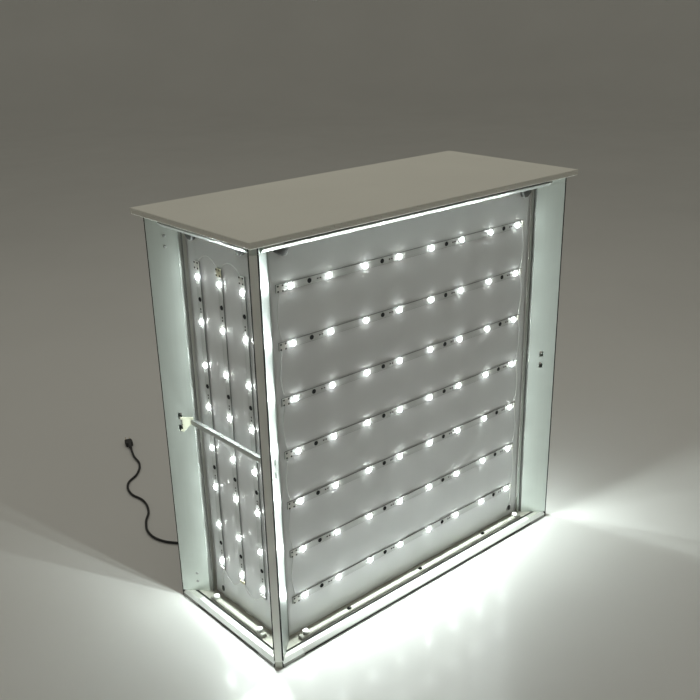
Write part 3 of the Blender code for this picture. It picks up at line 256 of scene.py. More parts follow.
def sheetFinish():
    s = {"tint": (0.80, 0.81, 0.82), "threads": 1100.0, "cloud": (7.0, 3.0, 0.955, 1.02),
         "thread": (0.97, 1.0), "marks": (8.0, 0.5), "rough": (0.34, 0.46), "coat": (0.45, 0.25),
         "bump": 0.06}
    made, shader, place = startMaterial("coatedCloth", Coat_Roughness=0.22, Coat_IOR=1.45)
    tree = made.node_tree
    across = addNode(tree, "ShaderNodeUVMap", uv_map="cloth").outputs["UV"]
    weave = {"Vector": across, "Scale": s["threads"] / (2 * math.pi), "Distortion": 0.4, "Detail": 1.0}
    warp, weft = (addNode(tree, "ShaderNodeTexWave", weave, bands_direction=way).outputs[1] for way in "XY")
    threads = calc("MULTIPLY", calc("ADD", warp, weft), 0.5)
    woven = remap(threads, 0.0, 1.0, *s["thread"])
    shade = calc("MULTIPLY", mottle(place, *s["cloud"]), woven)
    feed(shader, "Base Color", shaded(s["tint"], shade))
    marks = addMarks(place, *s["marks"])
    feed(shader, "Roughness", remap(marks["Mask"], 0.0, 1.0, *s["rough"]))
    feed(shader, "Coat Weight", remap(marks["Mask"], 0.0, 0.5, *s["coat"]))
    addBump(shader, threads, s["bump"])
    return made


# white printed board: faint tracks run along it under the white coat; darker bands along its long edges are
# painted shade
def barFinish():
    s = {"track": 0.0052, "trackHalf": 0.0016, "breaks": 19.2, "breakShare": 0.06, "copper": 0.35,
         "coat": (0.70, 0.71, 0.71), "tracked": (0.58, 0.62, 0.59), "edge": (0.13, 0.135, 0.125),
         "upper": (0.0070, 0.0078, 0.0, 0.80), "lower": (-0.0078, -0.0086, 0.0, 0.45),
         "cloud": (60.0, 3.0, 0.96, 1.02), "rough": (300.0, 2.0, 0.34, 0.44), "bump": (0.25, 0.0001)}
    made, shader, place = startMaterial("whiteCircuit", Coat_Weight=0.3, Coat_Roughness=0.25)
    across = addNode(made.node_tree, "ShaderNodeUVMap", uv_map="bar").outputs["UV"]
    along, aside = addNode(made.node_tree, "ShaderNodeSeparateXYZ", {0: across}).outputs[:2]
    track = calc("COMPARE", calc("ABSOLUTE", aside), s["track"])
    track.node.inputs[2].default_value = s["trackHalf"]
    step = calc("FRACT", calc("MULTIPLY", along, s["breaks"]))
    copper = calc("MULTIPLY", track, calc("GREATER_THAN", step, s["breakShare"]))
    coat = mixColours(calc("MULTIPLY", copper, s["copper"]), s["coat"], s["tracked"])
    edgeShadeBands = calc("ADD", remap(aside, *s["upper"]), remap(aside, *s["lower"]))
    lined = mixColours(edgeShadeBands, coat, s["edge"])  # bands of painted shade along the bar's long edges, stronger on the upper one
    feed(shader, "Base Color", shaded(lined, mottle(place, *s["cloud"])))
    feed(shader, "Roughness", mottle(place, *s["rough"]))
    addBump(shader, copper, *s["bump"])
    return made


def glowFinish():
    s = {"ripple": (900.0, 1.0, 0.92, 1.0), "light": (0.94, 1.0, 0.97)}
    plain = {"Base_Color": (0.9, 0.93, 0.92, 1.0), "Roughness": 0.15, "Emission_Strength": 60.0}
    made, shader, place = startMaterial("litLens", **plain)
    feed(shader, "Emission Color", shaded(s["light"], mottle(place, *s["ripple"])))
    return made


def scaled(tint, share):
    return [c * share for c in tint]


upright, acrossWide, acrossDeep = (1500, 1500, 14), (14, 1500, 1500), (1500, 14, 1500)
coarseGrain, evenGrain, fineGrain = (500, 500, 500), (400, 400, 400), (900, 900, 900)
postTint, railTint, edgeShadeTint = (0.59, 0.635, 0.60), (0.78, 0.80, 0.765), (0.30, 0.30, 0.28)
# the top rails' lips take the rail tint darkened: painted shade under the countertop
upperLipShadedTint, rodTint = scaled(railTint, 0.45), (0.74, 0.74, 0.72)
metals = {  # name, tint, grain, roughness, metallic and wear
    "post": ("postAluminium", postTint, upright, 0.36, 0.85),
    # nearWall: the post tint darkened, painted shade on the near post's wall
    "nearWall": ("nearPostWallPaintedShade", scaled(postTint, 0.28), upright, 0.42, 0.85),
    "nose": ("postNose", (0.86, 0.87, 0.82), upright, 0.40, 0.15),
    "upperLipX": ("topLipPaintedShadeWide", upperLipShadedTint, acrossWide, 0.42, 0.45),
    "upperLipY": ("topLipPaintedShadeDeep", upperLipShadedTint, acrossDeep, 0.42, 0.45),
    "railX": ("railAluminiumWide", railTint, acrossWide, 0.38, 0.45),
    "railY": ("railAluminiumDeep", railTint, acrossDeep, 0.38, 0.45),
    "corner": ("cornerBlock", (0.52, 0.525, 0.47), coarseGrain, 0.46, 0.55, 0.4),
    # inner: the flats behind the channels darkened, painted shade
    "inner": ("innerFlatPaintedShade", (0.36, 0.355, 0.305), evenGrain, 0.48, 0.45),
    # under: the rail aluminium darkened on undersides and on the left posts' channels, painted shade
    "under": ("railUndersidePaintedShade", (0.36, 0.37, 0.355), evenGrain, 0.42, 0.80),
    # edge and upperEdge: dark outer faces of the rails, painted shade, darker still under the countertop
    "edge": ("railEdge", edgeShadeTint, evenGrain, 0.50, 0.25),
    "upperEdge": ("topRailEdgePaintedShade", scaled(edgeShadeTint, 0.75), evenGrain, 0.50, 0.25),
    # channel: the channels' dark tint is painted shade
    "channel": ("channelPaintedShade", (0.17, 0.175, 0.165), evenGrain, 0.55, 0.30),
    # core: the bar's aluminium core edge, made very dark as painted shade along the bar's edges
    "core": ("barCorePaintedShade", (0.10, 0.105, 0.10), fineGrain, 0.5, 0.4),
    "rodX": ("rodSteelWide", rodTint, acrossWide, 0.28, 0.85),
    "rodY": ("rodSteelDeep", rodTint, acrossDeep, 0.28, 0.85),
    "brace": ("braceSteel", (0.56, 0.57, 0.56), acrossDeep, 0.48, 0.45),
    # braceTopPaintedShade: the brace bar's upper face darkened, painted shade
    "braceTopPaintedShade": ("braceUpperPaintedShade", (0.15, 0.155, 0.15), acrossDeep, 0.48, 0.45),
    # stem: the knob's dark metal stem, which also darkens the head's underside as painted shade
    "stem": ("thumbStemAndPaintedShade", (0.10, 0.10, 0.095), fineGrain, 0.45, 0.5),
    "case": ("driverCase", (0.60, 0.61, 0.60), acrossWide, 0.36, 0.8),
    "brass": ("plugBlade", (0.78, 0.66, 0.40), fineGrain, 0.25, 1.0),
    "screw": ("screwSteel", (0.28, 0.285, 0.275), fineGrain, 0.40, 0.6),
}
moulded = {  # name, tint, roughness, texture and its depth
    "hem": ("hemBarPaint", (0.33, 0.33, 0.285), 0.40, 900.0),
    # claw: near-black, painted shade on the curtain rods' claws
    "claw": ("hangerGrey", (0.07, 0.07, 0.066), 0.45, 900.0),
    # slot: near-black in the grooves, painted shade
    "slot": ("slotBlack", (0.012, 0.012, 0.012), 0.6),
    "holder": ("lensHolder", (0.84, 0.86, 0.86), 0.35),
    "black": ("blackPlastic", (0.018, 0.018, 0.018), 0.42, 1600.0, 0.15),
    "whitePlastic": ("whitePlastic", (0.83, 0.83, 0.80), 0.38),
    "creamPlastic": ("creamPlastic", (0.74, 0.71, 0.52), 0.42),
    "wire": ("wireJacket", (0.82, 0.83, 0.82), 0.36),
    "cream": ("creamPaint", (0.34, 0.34, 0.265), 0.45, 700.0),
}
finishes = {"board": boardFinish(), "sheet": sheetFinish(), "bar": barFinish(), "glow": glowFinish()}
finishes["cord"] = cordFinish()
finishes["dull"] = mouldedFinish("dullBlack", (0.004, 0.004, 0.004), 0.85, specular=0.0)
finishes.update({key: metalFinish(*given) for key, given in metals.items()})
finishes.update({key: mouldedFinish(*given) for key, given in moulded.items()})
print("finishes made:", len(finishes))


# helpers for pieces
def keepMesh(name, bm):
    mesh = bpy.data.meshes.new(name)
    bm.to_mesh(mesh)
    bm.free()
    return mesh


def declare(made, replaced=(), body="frame"):
    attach(made, body)
    if replaced:
        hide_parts(*replaced)
    return made


def addPiece(name, bm, keys, replaced=(), body="frame", smooth=35):
    mesh = keepMesh(name, bm)
    for key in keys:
        mesh.materials.append(finishes[key])
    if smooth:
        mesh.shade_smooth()
        mesh.set_sharp_from_angle(angle=math.radians(smooth))
    return declare(addObject(name, mesh), replaced, body)


def stamp(bm, mesh, matrix):
    known = set(bm.verts)
    bm.from_mesh(mesh)
    bmesh.ops.transform(bm, matrix=matrix, verts=[v for v in bm.verts if v not in known])


def axesAt(origin, *axes):
    return Matrix.Translation(origin) @ Matrix(axes).transposed().to_4x4()


def facing(place, direction):
    return Matrix.Translation(place) @ Vector(direction).to_track_quat("Z", "Y").to_matrix().to_4x4()


def paintNew(bm, known, material):
    for face in bm.faces:
        if face not in known:
            face.material_index = material


def roundEdges(bm, edges, width, segments=1, clamp=False):
    bmesh.ops.bevel(
        bm, geom=edges, offset=width, affect="EDGES", segments=segments, profile=0.5, material=-1,
        clamp_overlap=clamp,
    )


def splitAt(bm, place, normal):
    geom = bm.verts[:] + bm.edges[:] + bm.faces[:]
    bmesh.ops.bisect_plane(bm, geom=geom, plane_co=place, plane_no=normal)


# a flat layout in metres, from the mesh's own X and Y
def layFlat(bm, uv, start=0.0):
    for face in bm.faces:
        for loop in face.loops:
            loop[uv].uv = (loop.vert.co.x - start, loop.vert.co.y)


def spun(profile, steps, paint=None):
    bm = bmesh.new()
    verts = [bm.verts.new((r, 0, h)) for r, h in profile]
    edges = [bm.edges.new(pair) for pair in zip(verts, verts[1:])]
    bmesh.ops.spin(
        bm, geom=verts + edges, cent=(0, 0, 0), axis=(0, 0, 1), angle=2 * math.pi, steps=steps, use_merge=True
    )
    bmesh.ops.remove_doubles(bm, verts=bm.verts, dist=1e-6)
    bmesh.ops.recalc_face_normals(bm, faces=bm.faces)
    if paint:
        for face in bm.faces:
            face.material_index = paint(face.calc_center_median())
    return bm


def turned(name, profile, steps, paint=None):
    return keepMesh(name, spun(profile, steps, paint))


def block(bm, low, high, ease=0.0, segments=1, material=0):
    known = set(bm.faces)
    low, high = Vector(low), Vector(high)
    place = Matrix.Translation((low + high) / 2) @ Matrix.Diagonal((*(high - low), 1))
    made = bmesh.ops.create_cube(bm, size=1.0, matrix=place)
    if ease:
        roundEdges(bm, list({e for v in made["verts"] for e in v.link_edges}), ease, segments)
    paintNew(bm, known, material)


def prism(bm, outline, low, high, place, ease=0.0, segments=1, material=0):
    known = set(bm.faces)
    verts = [bm.verts.new(place(a, b, low)) for a, b in outline]
    start = bm.faces.new(verts)
    grown = bmesh.ops.extrude_face_region(bm, geom=[start], use_keep_orig=True)
    moved = [item for item in grown["geom"] if isinstance(item, bmesh.types.BMVert)]
    bmesh.ops.translate(bm, verts=moved, vec=place(0, 0, high) - place(0, 0, low))
    faces = list({f for v in verts + moved for f in v.link_faces})
    bmesh.ops.recalc_face_normals(bm, faces=faces)
    if ease:
        roundEdges(bm, list({e for f in faces for e in f.edges}), ease, segments)
    paintNew(bm, known, material)


def roundCurve(name, points, radius, roundness, steps):
    curve = bpy.data.curves.new(name, "CURVE")
    curve.dimensions = "3D"
    curve.bevel_depth = radius
    curve.bevel_resolution = roundness
    curve.resolution_u = steps
    curve.use_fill_caps = True
    spline = curve.splines.new("BEZIER")
    spline.bezier_points.add(len(points) - 1)
    for knot, point in zip(spline.bezier_points, points):
        knot.co = point
        knot.handle_left_type = knot.handle_right_type = "AUTO"
    return curve


# a round wire along a few points, as part of a piece
def addWire(bm, points, radius, material):
    curve = roundCurve("wireGuide", points, radius, roundness=1, steps=3)
    guide = bpy.data.objects.new("wireGuide", curve)
    known = set(bm.faces)
    bm.from_mesh(bpy.data.meshes.new_from_object(guide))
    paintNew(bm, known, material)
    bpy.data.objects.remove(guide)
    bpy.data.curves.remove(curve)


# a copy of a CAD node with its sharp edges eased; pick gives each face's finish, after shape has changed it
def easedCopy(node, keys, pick=None, body="frame", shape=None, width=0.0003):
    s = {"merge": 1e-5, "flat": math.radians(0.5), "sharp": math.radians(30)}
    bm = bmesh.new()
    bm.from_mesh(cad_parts[node].data)
    bmesh.ops.remove_doubles(bm, verts=bm.verts, dist=s["merge"])
    bmesh.ops.dissolve_limit(bm, angle_limit=s["flat"], verts=bm.verts, edges=bm.edges)
    if shape:
        shape(bm)
    if pick:
        for face in bm.faces:
            face.material_index = pick(face.calc_center_median())
    sharp = [e for e in bm.edges if len(e.link_faces) == 2 and e.calc_face_angle(0) > s["sharp"]]
    roundEdges(bm, sharp, width, clamp=True)
    return addPiece(node + "Eased", bm, keys, [node], body, smooth=0)


# power cord
cordSettings = {
    "radius": 0.0035,
    "length": 1.184,
    "route": [
        (0.0364, 0.179, 0.0328), (0.015, 0.179, 0.0326), (-0.010, 0.1815, 0.0300), (-0.035, 0.1875, 0.0262),
        (-0.058, 0.197, 0.0232), (-0.078, 0.209, 0.0172), (-0.096, 0.224, 0.0100), (-0.115, 0.241, 0.0054),
        (-0.138, 0.260, 0.0042), (-0.185, 0.293, 0.0042), (-0.240, 0.318, 0.0042), (-0.295, 0.342, 0.0042),
        (-0.340, 0.370, 0.0042), (-0.375, 0.408, 0.0042), (-0.402, 0.452, 0.0042), (-0.408, 0.505, 0.0042),
        (-0.385, 0.565, 0.0042), (-0.345, 0.620, 0.0042), (-0.325, 0.685, 0.0042), (-0.330, 0.750, 0.0042),
        (-0.305, 0.812, 0.0042), (-0.252, 0.850, 0.0042), (-0.212, 0.905, 0.0044), (-0.198, 0.965, 0.0054),
        (-0.176, 1.025, 0.0083),
    ],
}


def addCordCurve(name, route, radius, replaced):
    curve = roundCurve(name, route, radius, roundness=4, steps=8)
    curve.materials.append(finishes["cord"])
    return declare(addObject(name, curve), replaced)


def addPlug():
    s = {"sleeve": 0.022, "length": 0.034, "width": 0.024, "height": 0.016, "ease": 0.0042,
         "blade": (0.017, 0.0015, 0.0063), "spacing": 0.0127, "groundRadius": 0.0023, "groundLength": 0.019,
         "ribs": 6, "ribStart": 0.008, "ribStep": 0.0032, "rib": (0.0014, 0.0006, 0.0045),
         "rings": 5, "ringStep": 0.0042, "ringStart": 0.0041, "ringGrowth": 0.00065, "sleeveEnd": 0.0072}
    end, before = Vector(cordSettings["route"][-1]), Vector(cordSettings["route"][-2])
    ahead = (end - before).to_2d().normalized().to_3d()
    side = Vector((0, 0, 1)).cross(ahead)
    bm = bmesh.new()
    face, wide, tall = s["sleeve"] + s["length"], s["width"] / 2, s["height"] / 2
    block(bm, (s["sleeve"], -wide, -tall), (face, wide, tall), s["ease"], 3)
    ribLength, ribDeep, ribHigh = s["rib"]
    for rib in range(s["ribs"]):  # finger grips on both sides
        x = s["sleeve"] + s["ribStart"] + rib * s["ribStep"]
        for y in (-wide, wide):
            block(bm, (x, y - ribDeep, -ribHigh), (x + ribLength, y + ribDeep, ribHigh), 0.0003)
    profile = [(0, 0.0), (s["ringStart"], 0.0)]
    for ring in range(s["rings"]):  # sprung sleeve
        start = ring * s["ringStep"]
        grow = s["ringStart"] + ring * s["ringGrowth"]
        profile += [(grow + 0.0004, start + 0.0006), (grow + 0.0005, start + 0.0026), (grow, start + 0.0032)]
    profile += [(s["sleeveEnd"], s["sleeve"] + 0.001), (0, s["sleeve"] + 0.001)]
    lying = Matrix(((0, 0, 1, 0), (1, 0, 0, 0), (0, 1, 0, 0), (0, 0, 0, 1)))
    stamp(bm, turned("plugSleeve", profile, 20), lying)
    reach, thick, high = s["blade"]
    for y in (-s["spacing"] / 2, s["spacing"] / 2):
        block(bm, (face - 0.001, y - thick / 2, 0), (face + reach, y + thick / 2, high), 0.0004, 1, 1)
    radius, length = s["groundRadius"], s["groundLength"]
    tip = [(0, 0), (radius, 0), (radius, length - 0.002), (0.001, length), (0, length)]
    ground = turned("groundPin", tip, 12, lambda c: 1)
    stamp(bm, ground, Matrix.Translation((face, 0, -s["height"] / 4)) @ lying)
    bmesh.ops.transform(bm, matrix=axesAt(end, ahead, side, (0, 0, 1)), verts=bm.verts)
    return addPiece("powerPlug", bm, ["black", "brass"], ["power_plug"])


cordRoute, cordRadius = cordSettings["route"], cordSettings["radius"]
cordPiece = addCordCurve("powerCord", cordRoute, cordRadius, ["power_cord"])
plugPiece = addPlug()
print("cord laid:", len(cordRoute), "points")

# where the extrusions' forms lie, in from the frame's faces and from its upper or lower end
profiles = {
    "postGroove": ((0.0112, 0.0158), (0.0006, 0.0074)),  # along the face, deep
    "postChannel": ((0.0012, 0.0046), (0.0460, 0.0570)),  # behind the slanted wall, deep
    "postLip": ((-0.0005, 0.0030), (0.0510, 0.0560)),
    "postWall": 0.0006,  # the slanted wall's own tolerance
    "postWidth": 0.0160,
    "nose": (0.0125, 0.001),
    "railGroove": ((0.0004, 0.0074), (0.0026, 0.0069)),  # deep, height
    "railChannel": ((0.0206, 0.0274), (0.0120, 0.0171)),
    "railEdge": (0.0004, 0.0096),
    "railFlat": (0.0272, 0.0174),
    "railUnder": 0.0082,
    "cornerFlat": (0.0270, 0.0174),
    "cornerChannel": 0.0380,
    "cornerLip": (0.0084, 0.0090),
    "screws": 0.0300,
}


# frame: posts, rails and corners with eased edges and dark slots; the slots and several darker faces carry
# painted shade
def cornerDepths(c):
    return halfWidth - abs(c.x), halfDepth - abs(c.y)


def within(form, *places):
    return all(low < place < high for place, (low, high) in zip(places, profiles[form]))


def postPick(c):
    u, v = cornerDepths(c)
    for along, deep in ((u, v), (v, u)):
        if within("postGroove", along, deep):
            return 1  # groove for the fabric's edge, near-black: painted shade in the recess
        inside = (wallStart + deep * math.tan(wallAngle) - along) * math.cos(wallAngle)
        if within("postChannel", inside, deep):
            return 3  # channel beside the rear lip, darkened: painted shade
        if within("postLip", inside, deep):
            return 4  # the rear lip, darker on the left posts: painted shade
        if c.x < 0 and c.y < 0 and along == u and abs(inside) < profiles["postWall"]:
            return 5  # the near post's wall, lit by the lamps but tinted darker: painted shade
    across, least = profiles["nose"]
    return 2 if u + v < across and min(u, v) > least else 0


def railPick(side, top):
    def pick(c):
        z = counter["topFrame"] - c.z if top else c.z
        u, v = cornerDepths(c)
        deep = u if side in ("left", "right") else v
        # the groove: painted shade
        if within("railGroove", deep, z):
            return 1
        # the channel: painted shade
        if within("railChannel", deep, z):
            return 4
        # the outer face: painted shade
        if deep < profiles["railEdge"][0] and z < profiles["railEdge"][1]:
            return 2
        # the flat behind the channel: darker finishes, painted shade
        if deep > profiles["railFlat"][0] and z > profiles["railFlat"][1]:
            return 3 if top else 5
        # the underside: painted shade
        return 3 if top and deep > profiles["railUnder"] else 0

    return pick


def cornerPick(top):
    def pick(c):
        p = profiles
        z = counter["topFrame"] - c.z if top else c.z
        u, v = cornerDepths(c)
        if z > p["screws"]:
            return 2  # the screws that hold the post
        # the outer face: painted shade
        if min(u, v) < p["railEdge"][0] and max(u, v) > p["postWidth"]:
            return 1
        # the flat behind the channel: painted shade
        if not top and min(u, v) > p["cornerFlat"][0] and z > p["cornerFlat"][1]:
            return 7
        for along, deep in ((u, v), (v, u)):
            if within("postGroove", along, deep):
                return 3  # the post's groove runs on, near-black: painted shade
            if along > p["cornerChannel"] and within("railChannel", deep, z):
                return 4  # and so does the rail's channel, darkened: painted shade
            if along > p["postWidth"] and deep < p["cornerLip"][0] and z > p["cornerLip"][1]:
                return 5 if along == u else 6  # slanted lips, darker on the top corners: painted shade
        return 0

    return pick


# the part of a base corner behind the rails' channels takes a darker finish of its own: painted shade
def splitFlat(bm):
    behind = profiles["railFlat"][0]
    sx, sy = (math.copysign(1, sum(vert.co[axis] for vert in bm.verts)) for axis in (0, 1))
    splitAt(bm, (sx * (halfWidth - behind), 0, 0), (1, 0, 0))
    splitAt(bm, (0, sy * (halfDepth - behind), 0), (0, 1, 0))


# at the near corner the top rails' lips run on to the post's nose
def runLipsOn(bm):
    start, stop, close = 0.069, 0.026, 0.0003
    tangent = math.tan(wallAngle)
    wallDepth = {a: (a - wallStart) / tangent for a in (start, stop)}
    halves = halfWidth, halfDepth
    for vert in bm.verts:
        depths = cornerDepths(vert.co)
        for axis, other in ((0, 1), (1, 0)):
            along, deep = depths[axis], depths[other]
            if abs(along - start) < close and deep < wallDepth[start] + close:
                vert.co[axis] = math.copysign(halves[axis] - stop, vert.co[axis])
                if deep > wallDepth[start] - close:
                    vert.co[other] = math.copysign(halves[other] - wallDepth[stop], vert.co[other])


for corner in ("front_left", "front_right", "rear_left", "rear_right"):
    # the left posts' channel and rear lip take darkened finishes: painted shade
    inner = ["under", "channel"] if corner.endswith("left") else ["channel", "post"]
    easedCopy("post_" + corner, ["post", "slot", "nose"] + inner + ["nearWall"], postPick)
    for level in ("base", "top"):
        ends = ["post", "upperEdge"] if level == "top" else ["corner", "edge"]
        lips = ["upperLipX", "upperLipY"] if level == "top" else ["railX", "railY"]
        keys = ends + ["screw", "slot", "channel"] + lips + ["inner"]
        shape = splitFlat if level == "base" else runLipsOn if corner == "front_left" else None
        easedCopy(f"{level}_corner_{corner}", keys, cornerPick(level == "top"), shape=shape)
for level in ("base", "top"):
    for side in ("front", "rear", "left", "right"):
        way = "Y" if side in ("left", "right") else "X"
        # the top rails' lips take the darkened lip finish: painted shade
        outer = ["upperLip" + way, "slot", "upperEdge"] if level == "top" else ["rail" + way, "slot", "edge"]
        keys = outer + ["under", "channel", "inner"]
        easedCopy(f"{level}_rail_{side}", keys, railPick(side, level == "top"))
print("frame eased")

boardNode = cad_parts["countertop"]
boardNode.data.materials.clear()
boardNode.data.materials.append(finishes["board"])

# LED curtains
panels = {
    "front": {"half": 0.4160, "rod": 0.3920, "bar": 0.40003, "oval": 0.3840},
    "left": {"half": 0.1295, "rod": 0.1000, "bar": 0.10703, "oval": 0.0920},
}
panels["right"] = panels["left"]
rowStep, columnStep = 0.126, 0.0837
rowHeights = [0.8711 - rowStep * row for row in range(7)]
columnPlaces = [-columnStep, 0.0, columnStep]
barMiddle = (counter["postLow"] + counter["postHigh"]) / 2


def panelPoint(panel, a, d, z):
    if panel == "front":
        return Vector((a, d - halfDepth, z))
    sign = -1 if panel == "left" else 1
    return Vector((sign * (halfWidth - d), a, z))


# places an outline that lies on a panel: along it, up, and in from the frame's face
def onPanel(panel):
    return lambda a, z, d: panelPoint(panel, a, d, z)


sheetSettings = {"low": 0.0203, "high": 0.9659, "depth": 0.0585, "thick": 0.0006, "belly": 0.0026,
                 "step": 0.0105, "ovalHeight": 0.0445, "hole": (0.00275, 0.00575)}


# how far a sheet hangs back from its bars, which hold it by their rivets
def frontBelly(a, z):
    between = math.sin(math.pi * (rowHeights[0] - z) / rowStep) ** 2
    sway = 0.55 + 0.25 * math.sin(a * 9.5 + 1.1) + 0.20 * math.sin(a * 23.0 + z * 4.0)
    ripple = 0.16 * (1 + math.sin(a * 41.0 + 2.2 * math.sin(z * 6.0)))
    return between * sway + ripple


def sideBelly(a, z):
    between = math.sin(math.pi * (a + columnStep) / columnStep) ** 2
    sway = 0.6 + 0.3 * math.sin(z * 7.0 + a * 11.0) + 0.1 * math.sin(z * 19.0)
    ripple = 0.34 * (1 + math.sin(a * 190.0 + 1.6 * math.sin(z * 9.0)))
    return between * sway + ripple


def addSheet(panel):
    s = sheetSettings
    half = panels[panel]["half"]
    height = s["high"] - s["low"]
    belly = frontBelly if panel == "front" else sideBelly
    bm = bmesh.new()
    counts = [max(8, round(length / s["step"])) for length in (2 * half, height)]
    bmesh.ops.create_grid(bm, x_segments=counts[0], y_segments=counts[1], size=0.5)
    bmesh.ops.scale(bm, vec=(2 * half, height, 1), verts=bm.verts)
    middle = (s["low"] + s["high"]) / 2
    ovalA, ovalZ = panels[panel]["oval"], s["ovalHeight"] - middle
    wide, tall = s["hole"]
    for sign in (-1, 1):  # lines round the pass-through's hole
        splitAt(bm, (ovalA + sign * wide, 0, 0), (1, 0, 0))
        splitAt(bm, (0, ovalZ + sign * tall, 0), (0, 1, 0))
    centres = [(face, face.calc_center_median()) for face in bm.faces]
    inside = [face for face, c in centres if abs(c.x - ovalA) < wide and abs(c.y - ovalZ) < tall]
    bmesh.ops.delete(bm, geom=inside, context="FACES")
    layFlat(bm, bm.loops.layers.uv.new("cloth"))
    for vert in bm.verts:
        a, z = vert.co.x, vert.co.y + middle
        vert.co = panelPoint(panel, a, s["depth"] + s["belly"] * belly(a, z), z)
    if panel == "left":  # the one panel that the grid's normals would face inwards on
        bmesh.ops.reverse_faces(bm, faces=bm.faces)
    made = addPiece(panel + "Sheet", bm, ["sheet"], [panel + "_sheet"], smooth=60)
    wall = made.modifiers.new("clothThickness", "SOLIDIFY")
    wall.thickness = s["thick"]
    wall.offset = -1.0


barSettings = {
    "start": -0.400, "end": 0.388, "width": 0.018, "thick": 0.0012,
    "back": 0.0582,  # depth of its back face
    "ledReach": 0.364, "leds": 8, "connector": (0.018, 0.0166, 0.0032), "tab": 0.007, "inset": 0.0006,
    "wire": 0.001, "contact": (0.0028, 0.0058), "ridge": (0.0065, 0.0085, 0.0040), "sunk": 0.0002,
    "pin": (0.0045, 0.002, 0.0025, 0.0006), "resistor": (0.0020, 0.0013, 0.0008), "resistorShift": 0.0036,
}
ledPitch = 2 * barSettings["ledReach"] / (barSettings["leds"] - 1)
lensFoot = 0.0016  # a lens glows above its holder
studs = {  # profile, sides and finish
    "lens": ([(0.0070, 0), (0.0070, 0.0011), (0.0062, 0.0015), (0.0058, 0.0015), (0.0055, 0.0029),
              (0.0042, 0.0040), (0.0018, 0.0042), (0, 0.0040)], 12, lambda c: 2 if c.z > lensFoot else 3),
    "rivet": ([(0.0055, 0), (0.0055, 0.0006), (0.0044, 0.0014), (0.0020, 0.0016), (0.0017, 0.0011),
               (0, 0.0011)], 10, lambda c: 4),
    "contact": ([(0.0023, -0.0002), (0.0023, 0.0003), (0.0018, 0.0005), (0, 0.0005)], 8, lambda c: 6),
}


# one bar lying along X with its back at z = 0, as every bar is the same
def barMesh():
    s = barSettings
    bm = bmesh.new()
    uv = bm.loops.layers.uv.new("bar")
    half, thick, sunk = s["width"] / 2, s["thick"], s["sunk"]
    block(bm, (s["start"], -half, 0), (s["end"], half, thick), 0.0002, 1, 1)
    # the edges and back keep the dark core finish: painted shade
    for face in bm.faces:
        if face.normal.z > 0.9:
            face.material_index = 0
    lens, rivet, dot = (turned(name, *given) for name, given in studs.items())
    for led in range(s["leds"]):
        stamp(bm, lens, Matrix.Translation((led * ledPitch - s["ledReach"], 0, thick)))
    gaps = range(0, s["leds"] - 1, 2)
    for led in gaps:
        stamp(bm, rivet, Matrix.Translation(((led + 0.5) * ledPitch - s["ledReach"], 0, thick)))
    length, width, height = s["connector"]
    first, last, top = s["start"] + s["inset"], s["end"] - s["inset"], thick + height
    for low, high in ((first, first + length), (last - s["tab"], last)):
        block(bm, (low, -width / 2, thick), (high, width / 2, top), 0.0006, 2, 5)
    inset, aside = s["contact"]
    for x in (first + inset, first + length - inset):  # dark contacts in the connector's corners
        for y in (-aside, aside):
            stamp(bm, dot, Matrix.Translation((x, y, top)))
    low, high, wide = s["ridge"]
    block(bm, (first + low, -wide, top - sunk), (first + high, wide, top + 0.0004), 0.0002, 1, 5)
    low, high, place, wide = s["pin"]
    for y in (-place, place):
        block(bm, (last - low, y - wide, top - 0.0004), (last - high, y + wide, top + 0.0001), 0.0001, 1, 6)
    long, wide, tall = s["resistor"]
    for led in gaps:  # a pair of resistors after each rivet
        for shift in (-s["resistorShift"], s["resistorShift"]):
            x = (led + 0.75) * ledPitch - s["ledReach"] + shift
            block(bm, (x - long, -wide, thick - sunk), (x + long, wide, thick + tall), 0.0002, 1, 6)
    layFlat(bm, uv, s["start"])
    return keepMesh("ledBar", bm)


def barMatrix(panel, number):
    back = barSettings["back"]
    if panel == "front":
        return axesAt(panelPoint(panel, 0, back, rowHeights[number]), (1, 0, 0), (0, 0, 1), (0, -1, 0))
    sign = -1 if panel == "left" else 1
    origin = panelPoint(panel, columnPlaces[number], back, barMiddle)
    return axesAt(origin, (0, 0, -1), (0, sign, 0), (sign, 0, 0))


wireSettings = {"depth": 0.0569, "bow": 0.008, "rise": 0.018, "sag": 0.024, "root": 0.003, "end": 0.0013,
                "rim": 0.05225}


# the last bar's wire goes straight to the pass-through
def wireToOval(panel, a, start):
    w, oval = wireSettings, panels[panel]["oval"]
    drop = w["rim"] + w["end"] - start
    shares = (0, 0.25, 0.5, 0.75, 1)
    return [panelPoint(panel, a + (oval - a) * t, w["depth"], start + drop * t) for t in shares]


def frontWires(number):
    s, w = barSettings, wireSettings
    left, right = s["start"] + s["connector"][0] / 2, s["end"] - s["tab"] / 2
    start = rowHeights[number] - s["width"] / 2 + w["root"]
    if number == len(rowHeights) - 1:
        return [wireToOval("front", right, start)]
    drop = rowHeights[number + 1] + s["width"] / 2 + w["end"] - start
    routes = []
    for a, side in ((left, -1), (right, 1)):
        bows = [(t, side * w["bow"] * math.sin(math.pi * t)) for t in (step / 5 for step in range(6))]
        routes.append([panelPoint("front", a + bow, w["depth"], start + drop * t) for t, bow in bows])
    return routes


